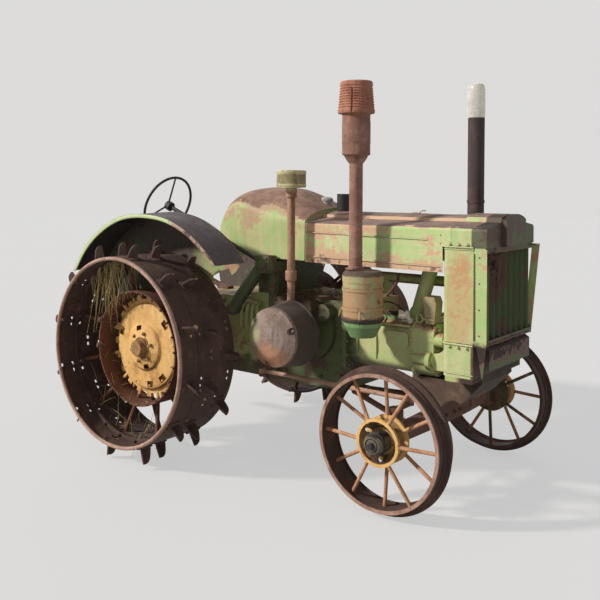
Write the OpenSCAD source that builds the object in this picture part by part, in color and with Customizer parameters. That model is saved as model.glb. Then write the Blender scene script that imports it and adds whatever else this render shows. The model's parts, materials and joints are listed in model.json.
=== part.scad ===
// Two-cylinder farm tractor of the 1930s on steel wheels, with extension rims, as it stands in a field.
// X runs forward, Y to the driver's left, Z up. The floor is Z = 0, and X = 0 is halfway along the tractor.
// Inside the modules X is counted from the rear axle, and place() moves each piece to the shared origin.

/* [Stance] */
// Distance from the rear axle to the front axle
wheelbase = 1645; // [1500:5:1800]
// Distance between the middles of the two rear rims
rear_track = 1595; // [1560:5:1700]
// Distance between the middles of the two front rims
front_track = 1334; // [1310:2:1380]
// Reach of the drawbar behind the rear axle
drawbar_reach = 721; // [715:1:800]
// Reach of the raised middle of the radiator top tank ahead of the rear axle
nose_reach = 2070; // [2060:1:2100]

/* [Rear wheels] */
// Radius of the rear rim's outer face
rim_r = 584.2; // [560:1:600]
// Width of the rear rim
rim_w = 305; // [280:5:320]
// Thickness of the rear rim
rim_t = 9; // [7:1:12]
// Width of the extension rim bolted outside the rear rim
ext_w = 150; // [120:5:160]
// Inward flange at each edge of a rear rim
rim_flange = 30; // [22:1:40]
// Height of a spade lug above the rim
lug_h = 102; // [95:1:130]
// Width of a lug at its foot
lug_w = 76; // [60:2:100]
// Width of a lug at its tip
lug_tip = 50; // [36:2:60]
// Thickness of a lug's plates
lug_t = 9; // [7:1:14]
// Number of lugs in one row
lug_count = 12; // [8:1:14]
// Radius of the ring that the rear spokes start from
drum_r = 360; // [340:2:370]
// Width of that ring
drum_w = 110; // [80:2:140]
// Number of rear spokes
rear_spokes = 24; // [16:2:24]
// Radius of a rear spoke
rear_spoke_r = 13; // [9:1:14]
// Radius of the toothed flange inside the ring
tooth_r = 322; // [300:2:330]
// Number of teeth on that flange
tooth_count = 20; // [12:1:24]
// Radius of the raised round cover on the wheel centre
cover_r = 274; // [220:2:276]
// Radius of the rear axle shaft
axle_shaft_r = 38; // [30:1:45]

/* [Front wheels] */
// Radius of the front rim's outer face
front_rim_r = 355.6; // [340:1:370]
// Width of the front rim
front_rim_w = 152; // [130:2:160]
// Thickness of the front rim
front_rim_t = 8; // [6:1:10]
// Height of the guide ring in the middle of the front rim
guide_h = 32; // [25:1:45]
// Radius of the two flanges of the front hub
hub_flange_r = 125; // [115:1:140]
// Radius of the front hub's barrel
hub_barrel_r = 66; // [60:1:80]
// Distance between the two flanges of the front hub
hub_flange_gap = 96; // [70:2:110]
// Number of spokes in a front wheel
front_spokes = 12; // [8:2:16]
// Radius of a front spoke
front_spoke_r = 10; // [8:1:14]
// Radius of the front wheel spindle
spindle_r = 24; // [18:1:30]

/* [Steering] */
// Distance from the tractor's middle to a kingpin
kingpin_y = 540; // [520:2:550]
// Radius of a kingpin
kingpin_r = 17; // [12:1:22]
// Distance from the tractor's middle to the drag link
drag_y = 400; // [380:2:420]
// Height of the drag link
drag_z = 546; // [520:2:560]
// Length of the arm on the steering column's foot
pitman_l = 108; // [90:1:112]
// Reach of the track rod arms behind the kingpins
track_arm_l = 150; // [120:2:170]
// Radius of the track rod and the drag link
rod_r = 13; // [10:1:16]
// Radius of the steering wheel's ring
steer_ring_r = 205; // [190:1:230]
// Radius of the steering wheel's round grip
steer_grip_r = 9; // [7:0.5:12]
// Slope of the steering shaft, in degrees
steer_slope = 22; // [18:1:26]
// Distance from the tractor's middle to the steering shaft
steer_y = 370; // [360:1:375]
// Place of the steering box and its upright shaft, ahead of the rear axle
box_x = 600; // [590:1:620]
// Height of the steering box
box_z = 1207; // [1195:1:1215]
// Length of the steering shaft outside the box
wheel_l = 931; // [900:1:950]

/* [Hood and tank] */
// Half of the hood's width
hood_half_w = 314; // [300:1:325]
// Height of the hood's lower edge
hood_low_z = 1238; // [1225:1:1250]
// Height of the hood's side corner
hood_corner_z = 1484; // [1470:1:1500]
// Height of the hood where the raised middle band starts
shoulder_z = 1508; // [1500:1:1515]
// Half width of the raised middle band
band_half_w = 134; // [110:2:150]
// Height of the hood's crest
hood_crest_z = 1544; // [1535:1:1560]
// Sheet thickness of hood and fenders
sheet_t = 3; // [2:0.5:5]
// Front of the fuel tank, ahead of the rear axle, where the hood starts
tank_front_x = 860; // [850:1:900]
// Rear face of the radiator top tank, ahead of the rear axle
top_tank_x = 1840; // [1830:1:1850]
// Height of the fuel tank's hump
tank_crest_z = 1695; // [1650:1:1720]

/* [Radiator] */
// Half of the radiator's width
rad_half_w = 314; // [300:1:325]
// Underside of the radiator top tank
top_tank_low_z = 1379; // [1360:1:1400]
// Top of the radiator bottom tank
bottom_tank_z = 861; // [840:1:880]
// Underside of the radiator bottom tank
rad_seat_z = 685; // [670:1:700]
// Rear face of the radiator core, ahead of the rear axle
core_x = 1790; // [1785:1:1800]
// Depth of the radiator core
core_d = 179; // [170:1:185]
// Front face of the radiator top tank beside its raised middle
tank_face_x = 2042; // [2035:1:2050]
// Number of upright slats in the shutter
slat_count = 8; // [6:1:10]
// Turn of the slats from fully open, in degrees
slat_turn = 18; // [0:1:30]

/* [Engine and case] */
// Half of the main case's width
case_half_w = 245; // [230:1:260]
// Height of the main case's top
case_top_z = 1010; // [990:1:1030]
// Underside of the main case below the rear axle
case_drop = 216.2; // [190:1:250]
// Front face of the main case, ahead of the rear axle
case_front_x = 1111; // [1090:1:1130]
// Half of the cylinder block's width
block_half_w = 240; // [230:1:245]
// Height of the cylinder block's top
block_top_z = 925; // [915:1:930]
// Height of the cylinder block's underside
block_low_z = 640; // [630:1:650]
// Joint between block and head, ahead of the rear axle
head_x = 1584; // [1575:1:1595]
// Front end of the head, ahead of the rear axle
head_front_x = 1706; // [1695:1:1715]
// Crankshaft ahead of the rear axle
crank_x = 866; // [850:1:880]
// Height of the crankshaft
crank_z = 819; // [800:1:830]
// Radius of the belt pulley's inner rim
pulley_r = 198; // [180:1:200]
// Radius of the belt pulley's outer edge
pulley_face_r = 172; // [160:1:180]
// Inner edge of the belt pulley, from the tractor's middle
pulley_in_y = 440; // [430:1:460]
// Outer edge of the belt pulley, from the tractor's middle
pulley_out_y = 632; // [610:1:636]
// Radius of the flywheel
flywheel_r = 305; // [280:1:320]
// Width of the flywheel's rim
flywheel_w = 100; // [80:2:120]
// Radius of the fan
fan_r = 200; // [180:2:205]
// Height of the fan shaft
fan_z = 1150; // [1140:2:1160]

/* [Stacks] */
// Place of the air cleaner, ahead of the rear axle
cleaner_x = 1362; // [1350:1:1375]
// Distance from the tractor's middle to the air cleaner
cleaner_y = 432; // [425:1:440]
// Height of the air cleaner's underside
cleaner_low_z = 860; // [850:1:870]
// Height of the air cleaner's top
cleaner_top_z = 1228; // [1220:1:1232]
// Radius of the air cleaner's canister
cleaner_r = 113; // [100:1:120]
// Radius of the intake stack
stack_r = 38; // [30:1:45]
// Height of the intake stack's cap
cap_top_z = 2290; // [2260:1:2330]
// Height of the exhaust pipe's open end
exhaust_top_z = 2120; // [2050:1:2150]
// Radius of the exhaust pipe
exhaust_r = 50; // [40:1:55]
// Radius of the breather pipe
breather_r = 24; // [18:1:30]

/* [Fenders and platform] */
// Radius of the fender's sheet
fender_r = 822; // [790:2:860]
// Inner edge of the fender, from the tractor's middle
fender_in_y = 592; // [590:1:600]
// Outer edge of the fender, from the tractor's middle
fender_out_y = 860; // [840:2:900]
// Height of the fender's centre above the rear axle
fender_lift = 27; // [15:1:35]
// Driver's platform below the rear axle
platform_drop = 26; // [10:1:60]

/* [Hidden] */
$fn = 64;
// Clearance round a pin in its bore, clearance between seated pieces, and clearance of running faces
fit = 0.08;
seat = 0.3;
run = 6;

axle_z = rim_r + lug_h;
front_z = front_rim_r + guide_h;
fender_z = axle_z + fender_lift;
case_low_z = axle_z - case_drop;
platform_z = axle_z - platform_drop;
pitman_x = box_x;
mid_x = (nose_reach - drawbar_reach) / 2;
housing_r = 100;
rim_mid_y = rear_track / 2;
rim_in_y = rim_mid_y - rim_w / 2;
rim_out_y = rim_mid_y + rim_w / 2;
ext_out_y = rim_out_y + ext_w;
front_mid_y = front_track / 2;
core_front_x = core_x + core_d;
head_top_z = block_top_z + 10;
stack_x = cleaner_x - 50;
stack_y = cleaner_y;

// Rear wheel: inner face and thickness of the toothed flange
flange_y = rim_mid_y - 10;
flange_t = 22;
// Front wheel: end of the spindle, outside the hub
spindle_end_y = front_mid_y + hub_flange_gap / 2 + 54;
// Front axle: kingpin bosses, knuckle ears, and height of the pivot block above the axle's middle
ear_r = 38;
boss_h = 92;
ear_h = 20;
pivot_h = 86;
// Linkage: pins, the eyes on them, thickness of the drag link's arms, and the upright steering shaft
pin_r = 9;
eye_r = 24;
arm_t = 16;
column_r = 32;
column_shaft_r = 16;
column_y = drag_y - pitman_l;
// Steering shaft's lower end, its radius, and the outer and inner sides of the steering box
shaft_end = [box_x - 20, -steer_y, box_z + 20 * tan(steer_slope)];
steer_shaft_r = 13;
box_out = steer_y + 42;
box_in = 333;
brace_r = 42;
// Case: rounded rear end, top behind the tank, crankshaft and its bosses, inner side of the flywheel
case_ring_r = 255;
case_rear_z = axle_z + 281;
crank_boss_r = 95;
crank_r = 34;
flywheel_in_y = 330;
// Turn of the first notch in the pulley's cover
pulley_notch = 20;
// Water pipes: lower one's height, radius and inner side, upper one's height, radius and distance to the
// right
lower_pipe_z = 736;
lower_pipe_r = 38;
pipe_y = 150;
upper_pipe_z = 1425;
upper_pipe_r = 42;
upper_pipe_y = 120;
// Fuel cap, ahead of the rear axle
cap_x = 800;
// Shutter: half width, height of its top and foot bars, width of a slat
shutter_half_w = 300;
shutter_bar = 30;
slat_w = 56;
// Exhaust: the upright pipe's place, and the port on the head that it comes from
exhaust_at = [1655, 372, 0];
port_at = [1645, 200, 1020];
// Breather pipe's place
breather_at = [824, -400, 0];
// Fan: end of the tube that holds its shaft, and the shaft's radius
tube_end_x = core_x - 58;
fan_shaft_r = 12;
// Fender: first and last angle of its sheet, counted up from straight ahead
fender_from = 40;
fender_to = 150;
// Drawbar: underside, thickness and pin hole; it passes below the case
drawbar_z = axle_z - case_ring_r - 31;
drawbar_t = 25;
drawbar_hole_r = 13;

module place() {
    translate([-mid_x, 0, 0]) children();
}

// A cylinder along Y from y0 to y1, given as distances to the right of the middle
module bar_y(r, y0, y1) {
    translate([0, -y0, 0]) rotate([90, 0, 0]) cylinder(r = r, h = y1 - y0);
}

// A cylinder from point a to point b
module rod(a, b, r) {
    v = b - a;
    l = norm(v);
    translate(a) rotate([0, acos(v[2] / l), atan2(v[1], v[0])]) cylinder(r = r, h = l);
}

// A body of revolution about the Y axis from a list of [radius, distance to the right]
module turned(points) {
    rotate([90, 0, 0]) rotate_extrude($fn = 96) polygon(points);
}

// An outline in X and Z, extruded in Y between y0 and y1 to the right of the middle
module slab_y(y0, y1) {
    translate([0, -y0, 0]) rotate([90, 0, 0]) linear_extrude(height = y1 - y0) children();
}

// An outline in Y and Z, extruded in X
module slab_x(x0, x1) {
    translate([x0, 0, 0]) rotate([90, 0, 90]) linear_extrude(height = x1 - x0) children();
}

module rounded(w, h, r) {
    translate([r, r]) {
        circle(r = r);
        translate([w - 2 * r, 0]) circle(r = r);
        translate([0, h - 2 * r]) circle(r = r);
        translate([w - 2 * r, h - 2 * r]) circle(r = r);
    }
    translate([0, r]) square([w, h - 2 * r]);
    translate([r, 0]) square([w - 2 * r, h]);
}

// Rear wheels, drawn on the right and mirrored for the left

module rear_wheel(side) {
    translate([0, 0, axle_z]) mirror([0, side > 0 ? 1 : 0, 0]) children();
}

// A spade lug: two plates in a V that lean together to a flat tip, on a rim at distance y, at an angle
module lug(y, angle) {
    sink = 4;
    half = lug_w / 2;
    nose = lug_tip / 2 - lug_t * 0.3;
    rotate([0, -angle, 0]) translate([0, -y, 0]) rotate([0, 90, 0]) intersection() {
        translate([0, 0, rim_r - sink]) linear_extrude(height = lug_h + sink)
            polygon([[nose, 0], [nose - half, half], [nose - half - lug_t * 1.4, half],
                [nose - lug_t * 1.4, 0], [nose - half - lug_t * 1.4, -half], [nose - half, -half]]);
        translate([-lug_w, 0, rim_r - sink]) rotate([90, 0, 90]) linear_extrude(height = 2 * lug_w)
            polygon([[-half, 0], [half, 0], [lug_tip / 2, lug_h + sink], [-lug_tip / 2, lug_h + sink]]);
    }
}

module rear_rim() {
    edge = 8;
    r0 = rim_r - rim_t;
    turned([[r0, rim_in_y + edge], [rim_r - rim_flange, rim_in_y + edge], [rim_r - rim_flange, rim_in_y],
        [rim_r, rim_in_y], [rim_r, ext_out_y], [rim_r - rim_flange, ext_out_y],
        [rim_r - rim_flange, ext_out_y - edge], [r0, ext_out_y - edge], [r0, rim_out_y + edge],
        [rim_r - rim_flange, rim_out_y + edge], [rim_r - rim_flange, rim_out_y - edge],
        [r0, rim_out_y - edge]]);
    step = 360 / lug_count;
    // Rows of lugs as [distance across, turn of the first lug]
    rows = [[rim_in_y + rim_w * 0.25, 0], [rim_in_y + rim_w * 0.75, step / 2],
        [rim_out_y + ext_w / 2, step * 0.63]];
    for (row = rows) for (i = [0 : lug_count - 1]) lug(row[0], row[1] + i * step);
}

module rear_spider() {
    drum_y = rim_out_y - 28;
    wall = 8;
    outer = flange_y + flange_t;
    turned([[drum_r - wall, drum_y - drum_w], [drum_r, drum_y - drum_w], [drum_r, drum_y],
        [drum_r - wall, drum_y]]);
    // Toothed flange, hub barrel and axle shaft
    turned([[axle_shaft_r, rim_in_y + run], [105, rim_in_y + run], [105, flange_y], [tooth_r - 24, flange_y],
        [tooth_r - 24, outer], [axle_shaft_r, outer]]);
    for (i = [0 : tooth_count - 1]) rotate([0, i * 360 / tooth_count, 0])
        translate([tooth_r - 26, -outer, -19]) cube([26, flange_t, 38]);
    // Spokes, alternately to the inner and the outer half of the rim
    intersection() {
        bar_y(rim_r - rim_t - seat, rim_in_y, rim_out_y);
        for (i = [0 : rear_spokes - 1]) rotate([0, i * 360 / rear_spokes, 0])
            rod([280, -(flange_y + flange_t / 2), 0],
                [rim_r + 20, -(rim_mid_y + (i % 2 == 0 ? -95 : 85)), 0], rear_spoke_r);
    }
    bar_y(axle_shaft_r, rim_in_y - 160, outer);
}

module rear_cover() {
    y0 = flange_y + flange_t + seat;
    turned([[0, y0], [cover_r, y0], [cover_r, y0 + 22], [cover_r - 10, y0 + 30], [145, y0 + 34],
        [138, y0 + 50],
        [60, y0 + 70], [55, y0 + 108], [0, y0 + 112]]);
}

// Front wheels, drawn on the right

module front_wheel(side) {
    translate([wheelbase, 0, front_z]) mirror([0, side > 0 ? 1 : 0, 0]) children();
}

module front_rim() {
    y0 = front_mid_y - front_rim_w / 2;
    y1 = front_mid_y + front_rim_w / 2;
    r0 = front_rim_r - front_rim_t;
    lip = 18;
    turned([[r0, y0 + 7], [front_rim_r - lip, y0 + 7], [front_rim_r - lip, y0], [front_rim_r, y0],
        [front_rim_r, front_mid_y - 26], [front_rim_r + 6, front_mid_y - 26],
        [front_rim_r + 8, front_mid_y - 6],
        [front_rim_r + guide_h, front_mid_y - 3], [front_rim_r + guide_h, front_mid_y + 3],
        [front_rim_r + 8, front_mid_y + 6], [front_rim_r + 6, front_mid_y + 26],
        [front_rim_r, front_mid_y + 26],
        [front_rim_r, y1], [front_rim_r - lip, y1], [front_rim_r - lip, y1 - 7], [r0, y1 - 7]]);
}

module front_hub() {
    outer = front_mid_y + hub_flange_gap / 2 + 6;
    inner = front_mid_y - hub_flange_gap / 2 + 6;
    b = spindle_r + fit;
    ring_r = hub_flange_r - 20;
    difference() {
        // Inner flange, barrel, open dish with its outer ring, and the dark cap on the end
        turned([[b, inner - 14], [55, inner - 14], [hub_flange_r, inner - 7], [hub_flange_r, inner + 7],
            [hub_barrel_r + 12, inner + 12], [hub_barrel_r, front_mid_y - 10], [hub_barrel_r + 4, outer - 58],
            [ring_r, outer - 22], [hub_flange_r, outer - 9], [hub_flange_r, outer + 9],
            [ring_r + 4, outer + 10],
            [ring_r, outer - 6], [hub_barrel_r + 4, outer - 44], [56, outer - 46], [55, outer + 48],
            [44, outer + 62],
            [0, outer + 64], [0, spindle_end_y + 4], [b, spindle_end_y + 4]]);
        // Windows in the dish
        for (a = [30 : 60 : 359]) rotate([0, a, 0]) translate([hub_barrel_r + 22, 0, 0])
            bar_y(16, outer - 70, outer + 30);
    }
    intersection() {
        bar_y(front_rim_r - front_rim_t - seat, front_mid_y - 60, front_mid_y + 70);
        for (i = [0 : front_spokes - 1]) rotate([0, i * 360 / front_spokes, 0])
            rod([hub_flange_r - 20, -(i % 2 == 0 ? outer : inner), 0],
                [front_rim_r + 10, -(front_mid_y + (i % 2 == 0 ? 14 : -14)), 0], front_spoke_r);
    }
}

// Front axle and steering

module front_axle_piece() {
    difference() {
        union() {
            slab_x(wheelbase - 38, wheelbase + 38)
                polygon([[-kingpin_y, front_z - 34], [-200, front_z - 44], [200, front_z - 44],
                    [kingpin_y, front_z - 34],
                    [kingpin_y, front_z + 34], [170, front_z + 44], [90, front_z + pivot_h - seat],
                    [-90, front_z + pivot_h - seat],
                    [-170, front_z + 44], [-kingpin_y, front_z + 34]]);
            for (s = [-1, 1]) translate([wheelbase, s * kingpin_y, front_z - boss_h / 2])
                cylinder(r = ear_r, h = boss_h);
            for (s = [-1, 1]) rod([wheelbase - 20, s * 330, front_z - 10],
                [case_front_x - 60, s * 50, case_low_z - 45], 17);
            rod([case_front_x - 90, 0, case_low_z - 45], [case_front_x + 10, 0, case_low_z - 45], 36);
        }
        for (s = [-1, 1]) translate([wheelbase, s * kingpin_y, 0])
            cylinder(r = kingpin_r + fit, h = 2 * front_z);
    }
    rod([case_front_x - 40, 0, case_low_z - 45], [case_front_x - 40, 0, case_low_z - seat], 24);
}

module knuckle(side) {
    translate([wheelbase, 0, front_z]) mirror([0, side > 0 ? 1 : 0, 0]) {
        gap = 1;
        back = kingpin_y + ear_r + run;
        top = boss_h / 2 + gap;
        // Two ears, the plate behind them and the kingpin
        for (z = [top, -top - ear_h]) translate([0, 0, z]) {
            translate([0, -kingpin_y, 0]) cylinder(r = ear_r, h = ear_h);
            translate([-ear_r, -back - 4, 0]) cube([2 * ear_r, back + 4 - kingpin_y, ear_h]);
        }
        translate([-ear_r, -back - 4, -top - ear_h]) cube([2 * ear_r, 4, 2 * (top + ear_h)]);
        translate([0, -kingpin_y, -top - ear_h]) cylinder(r = kingpin_r, h = 2 * (top + ear_h));
        bar_y(spindle_r, back, spindle_end_y);
        // Arm for the track rod, behind the kingpin
        translate([-track_arm_l, -kingpin_y, -top - ear_h]) cylinder(r = eye_r, h = ear_h);
        translate([-track_arm_l, -kingpin_y - 16, -top - ear_h]) cube([track_arm_l, 32, ear_h]);
        // Pin that the track rod's eye hangs on
        translate([-track_arm_l, -kingpin_y, -top - ear_h - 34]) cylinder(r = pin_r, h = 35);
    }
}

module drag_arm() {
    // Arm from the right knuckle's upper ear, inward and up to the drag link
    top = front_z + boss_h / 2 + 1;
    arm_z = drag_z - 31;
    translate([wheelbase, 0, 0]) {
        translate([0, -kingpin_y, top]) cylinder(r = ear_r, h = arm_z - top + arm_t);
        translate([-17, -kingpin_y, arm_z]) cube([34, kingpin_y - drag_y, arm_t]);
        translate([0, -drag_y, arm_z]) cylinder(r = eye_r, h = arm_t);
        translate([0, -drag_y, arm_z]) cylinder(r = pin_r, h = 50);
    }
}

module eye() {
    difference() {
        cylinder(r = eye_r, h = 28, center = true);
        cylinder(r = pin_r + 1, h = 30, center = true);
    }
}

module track_rod_piece() {
    z = front_z - boss_h / 2 - 1 - ear_h - 15;
    x = wheelbase - track_arm_l;
    for (s = [-1, 1]) translate([x, s * kingpin_y, z]) eye();
    rod([x, -kingpin_y + 20, z], [x, kingpin_y - 20, z], rod_r);
}

module pitman() {
    z = drag_z - 34;
    translate([pitman_x, -column_y, z]) cylinder(r = 30, h = 48);
    translate([pitman_x - 17, -drag_y, z]) cube([34, pitman_l, arm_t]);
    translate([pitman_x, -drag_y, z]) cylinder(r = eye_r, h = arm_t);
    translate([pitman_x, -drag_y, z]) cylinder(r = 12, h = arm_t + 3);
    translate([pitman_x, -column_y, z]) cylinder(r = column_shaft_r, h = 120);
}

module drag_link_piece() {
    // The rear end is a ball that rides just above the arm's stud
    translate([pitman_x, -drag_y, drag_z - 14]) cylinder(r = eye_r, h = 28);
    translate([wheelbase, -drag_y, drag_z]) eye();
    rod([pitman_x + 20, -drag_y, drag_z], [wheelbase - 20, -drag_y, drag_z], rod_r);
}

module steering_column_piece() {
    difference() {
        union() {
            // Box, column and its feet on the case
            translate([box_x - 55, -box_out, box_z - 47]) cube([110, box_out - box_in, 107]);
            translate([box_x - 55, -box_out, box_z - 47])
                cube([110, box_out - case_half_w - 15, hood_low_z - 8 - box_z + 47]);
            translate([pitman_x, -column_y, drag_z + 20]) cylinder(r = column_r, h = box_z - drag_z - 60);
            for (z = [640, 900]) translate([pitman_x - 40, -column_y, z])
                cube([80, column_y - case_half_w - seat, 60]);
            // Stout brace that leans from the box back to the case
            brace = [300, -box_in - 17, 905];
            rod(brace, [box_x - 50, brace[1], box_z - 12], brace_r);
            rod(brace, [brace[0], -case_half_w - seat, brace[2]], brace_r);
            translate(brace) sphere(r = brace_r + 6);
        }
        translate([pitman_x, -column_y, 0]) cylinder(r = column_shaft_r + fit, h = drag_z + 100);
        translate(shaft_end) rotate([0, -90 + steer_slope, 0]) translate([0, 0, -1])
            cylinder(r = steer_shaft_r + fit, h = 200);
    }
}

module steering_wheel_piece() {
    translate(shaft_end) rotate([0, -90 + steer_slope, 0]) {
        cylinder(r = steer_shaft_r, h = wheel_l);
        translate([0, 0, wheel_l - 25]) cylinder(r = 32, h = 38);
        translate([0, 0, wheel_l + 10]) {
            rotate_extrude($fn = 72) translate([steer_ring_r, 0]) circle(r = steer_grip_r, $fn = 24);
            for (a = [0, 120, 240]) rotate([0, 0, a]) rotate([0, 90, 0]) cylinder(r = 6, h = steer_ring_r);
        }
    }
}

// Case and engine

module case_outline() {
    translate([0, axle_z]) circle(r = case_ring_r);
    polygon([[-120, axle_z - 111], [0, case_low_z], [case_front_x, case_low_z], [case_front_x, case_top_z],
        [430, case_top_z],
        [330, case_rear_z], [-150, case_rear_z], [-170, axle_z + 49]]);
}

module main_case_piece() {
    difference() {
        union() {
            slab_y(-case_half_w, case_half_w) case_outline();
            translate([crank_x, 0, crank_z]) bar_y(crank_boss_r, case_half_w - 1, pulley_in_y - run);
            translate([crank_x, 0, crank_z]) bar_y(crank_boss_r, -flywheel_in_y + run, -case_half_w + 1);
            translate([crank_x, 0, crank_z]) bar_y(pulley_r - 13, case_half_w - 1, case_half_w + 45);
            // Oval cover and hooked bracket on the right side
            slab_y(case_half_w - 1, case_half_w + 110) translate([box_x + 48, case_top_z - 74])
                rounded(110, 81, 40);
            translate([1000, 0, crank_z + 121]) slab_y(case_half_w - 1, case_half_w + 75)
                ring_sector(29, 52, -130, 110);
        }
        translate([crank_x, 0, crank_z]) bar_y(crank_r + fit, -flywheel_in_y - 10, pulley_in_y);
    }
}

module axle_housings_piece() {
    for (s = [0, 1]) mirror([0, s, 0]) translate([0, 0, axle_z])
        turned([[axle_shaft_r + fit, case_half_w], [165, case_half_w], [165, case_half_w + 24],
            [120, case_half_w + 40],
            [housing_r, fender_in_y - 25], [housing_r, fender_in_y + 20], [112, rim_in_y - 40],
            [112, rim_in_y],
            [axle_shaft_r + fit, rim_in_y]]);
}

module cylinder_block_piece() {
    h = block_top_z - block_low_z;
    slab_x(case_front_x, head_x) translate([-block_half_w, block_low_z]) rounded(2 * block_half_w, h, 70);
    // Flanges against the case and the head
    slab_x(case_front_x, case_front_x + 30) translate([-275, block_low_z - 60]) rounded(550, 390, 60);
    slab_x(head_x - 14, head_x) translate([-block_half_w - 12, block_low_z - 12])
        rounded(2 * block_half_w + 24, h + 36, 60);
    // Upper water pipe: an upright foot, a run that leans forward, and a level run into the top tank
    foot = [head_x - upper_pipe_r - 5, -upper_pipe_y, block_top_z - 20];
    knee = foot + [0, 0, 65];
    bend = [foot[0] + 140, -upper_pipe_y, upper_pipe_z];
    rod(foot, knee, upper_pipe_r + 4);
    rod(knee, bend, upper_pipe_r);
    translate(knee) sphere(r = upper_pipe_r + 8);
    translate(bend) sphere(r = upper_pipe_r + 3);
    rod(bend, [top_tank_x - seat, -upper_pipe_y, upper_pipe_z], upper_pipe_r);
}

module cylinder_head_piece() {
    h = head_top_z - block_low_z;
    y = block_half_w + 10;
    slab_x(head_x, head_front_x) translate([-y, block_low_z]) rounded(2 * y, h, 65);
    // Lower pipe with its flange, and the capped outlet above it
    rod([head_x, -y + 20, lower_pipe_z], [head_front_x, -y + 20, lower_pipe_z], lower_pipe_r);
    rod([head_front_x - 40, -y + 20, lower_pipe_z],
        [head_front_x - 14, -y + 20, lower_pipe_z], lower_pipe_r + 18);
    rod([head_front_x - 30, -y + 42, block_top_z - 78], [head_front_x + 52, -y + 42, block_top_z - 78], 44);
}

module intake_elbow_piece() {
    // Leaning casting on the head, in two halves with a joint between them
    foot = head_top_z + seat;
    slab_y(block_half_w - 85, block_half_w - 5)
        polygon([[head_x + 66, foot], [head_front_x - 8, foot], [head_front_x - 2, foot + 28],
            [head_front_x + 5, foot + 120],
            [head_front_x - 8, foot + 152], [head_front_x - 66, foot + 152], [head_front_x - 76, foot + 138],
            [head_x + 60, foot + 28]]);
    slab_y(block_half_w - 92, block_half_w + 2)
        polygon([[head_x + 56, foot + 20], [head_front_x, foot + 20], [head_front_x, foot + 32],
            [head_x + 56, foot + 32]]);
}

module front_bolster_piece() {
    // Casting under the engine and radiator, down to the axle's pivot
    top = block_low_z - 12 - seat;
    low = front_z + pivot_h;
    difference() {
        slab_y(-195, 195) polygon([[1545, top], [core_x, top], [core_x, rad_seat_z],
            [core_front_x - 1, rad_seat_z],
            [core_front_x - 1, rad_seat_z - 45], [1873, low + 62], [1800, low], [1545, low]]);
        // Arch under the radiator, seen from the side
        translate([1800, 0, low - 30]) bar_y(78, -200, 200);
    }
    slab_y(-rad_half_w, rad_half_w) polygon([[core_x + 20, rad_seat_z - 26],
        [core_front_x - 1, rad_seat_z - 26],
        [core_front_x - 1, rad_seat_z], [core_x + 20, rad_seat_z]]);
}

module tank_support_piece() {
    slab_y(-240, 240) polygon([[430, case_top_z], [600, case_top_z], [600, hood_low_z], [430, hood_low_z]]);
}

// Hood and tank

function arch(hw, corner, crest, n = 12) = let (s = crest - corner, r = (hw * hw + s * s) / (2 * s),
    a = asin(hw / r))
    [for (i = [0 : n]) let (t = -a + 2 * a * i / n) [r * sin(t), crest - r + r * cos(t)]];

// Hood section: upright sides, soft corners, shoulders that rise to a step, and a raised band arched to the
// crest
module hood_outline(inset, low, crest) {
    hw = hood_half_w - inset;
    bw = band_half_w - inset;
    soft = 18;
    half = [[hw, low], [hw, hood_corner_z - soft - inset],
        [hw - soft * 0.3, hood_corner_z - soft * 0.3 - inset],
        [hw - soft, hood_corner_z - inset], [bw + 6, shoulder_z - inset], [bw - 6, crest - 18 - inset]];
    band = arch(bw - 6, crest - 18 - inset, crest - inset, 8);
    polygon(concat([for (i = [0 : 4]) [-half[i][0], half[i][1]]], band, [for (i = [4 : -1 : 0]) half[i]]));
}

module hood_piece() {
    difference() {
        slab_x(tank_front_x + seat, top_tank_x - seat) hood_outline(0, hood_low_z, hood_crest_z);
        slab_x(tank_front_x, top_tank_x) hood_outline(sheet_t, hood_low_z - sheet_t, hood_crest_z);
        translate([core_x - seat, -rad_half_w - 1, hood_low_z - 1])
            cube([200, 2 * rad_half_w + 2, top_tank_low_z + seat - hood_low_z + 1]);
    }
}

// Fuel tank: sections with an arched top as [place, half width, underside, corner height, crest height]
tank_sections = [[110, 270, hood_low_z + 62, 1430, tank_crest_z - 73],
    [200, 312, hood_low_z, 1530, tank_crest_z - 27],
    [310, 325, hood_low_z, 1590, tank_crest_z - 3], [430, 328, hood_low_z, 1560, tank_crest_z],
    [600, 326, hood_low_z, 1508, tank_crest_z - 12], [730, 320, hood_low_z, 1495, tank_crest_z - 60],
    [tank_front_x, hood_half_w, hood_low_z, 1490, hood_crest_z + 18]];

module fuel_tank_piece() {
    for (i = [0 : len(tank_sections) - 2]) hull() for (k = [i, i + 1]) {
        s = tank_sections[k];
        slab_x(s[0] - (k > i ? 1 : 0), s[0] + (k > i ? 0 : 1))
            polygon(concat([[s[1], s[2]], [-s[1], s[2]]], arch(s[1], s[3], s[4])));
    }
}

module fuel_cap_piece() {
    a = tank_sections[5];
    b = tank_sections[6];
    t = (cap_x - a[0]) / (b[0] - a[0]);
    translate([cap_x, 0, a[4] + t * (b[4] - a[4])]) rotate([0, atan2(a[4] - b[4], b[0] - a[0]), 0])
        translate([0, 0, seat + 0.7]) cylinder(r = 36, h = 40);
}

module filler_cup_piece() {
    translate([930, 0, hood_crest_z + seat]) cylinder(r = 40, h = 108);
}

// Radiator

// Outline in plan of the core and bottom tank, with rounded rear corners
module core_plan() {
    soft = 30;
    translate([core_x, -rad_half_w]) rounded(core_d, 2 * rad_half_w, soft);
    translate([core_x + soft, -rad_half_w]) square([core_d - soft, 2 * rad_half_w]);
}

module radiator_core_piece() {
    translate([0, 0, bottom_tank_z]) linear_extrude(height = top_tank_low_z - bottom_tank_z) core_plan();
}

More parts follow.
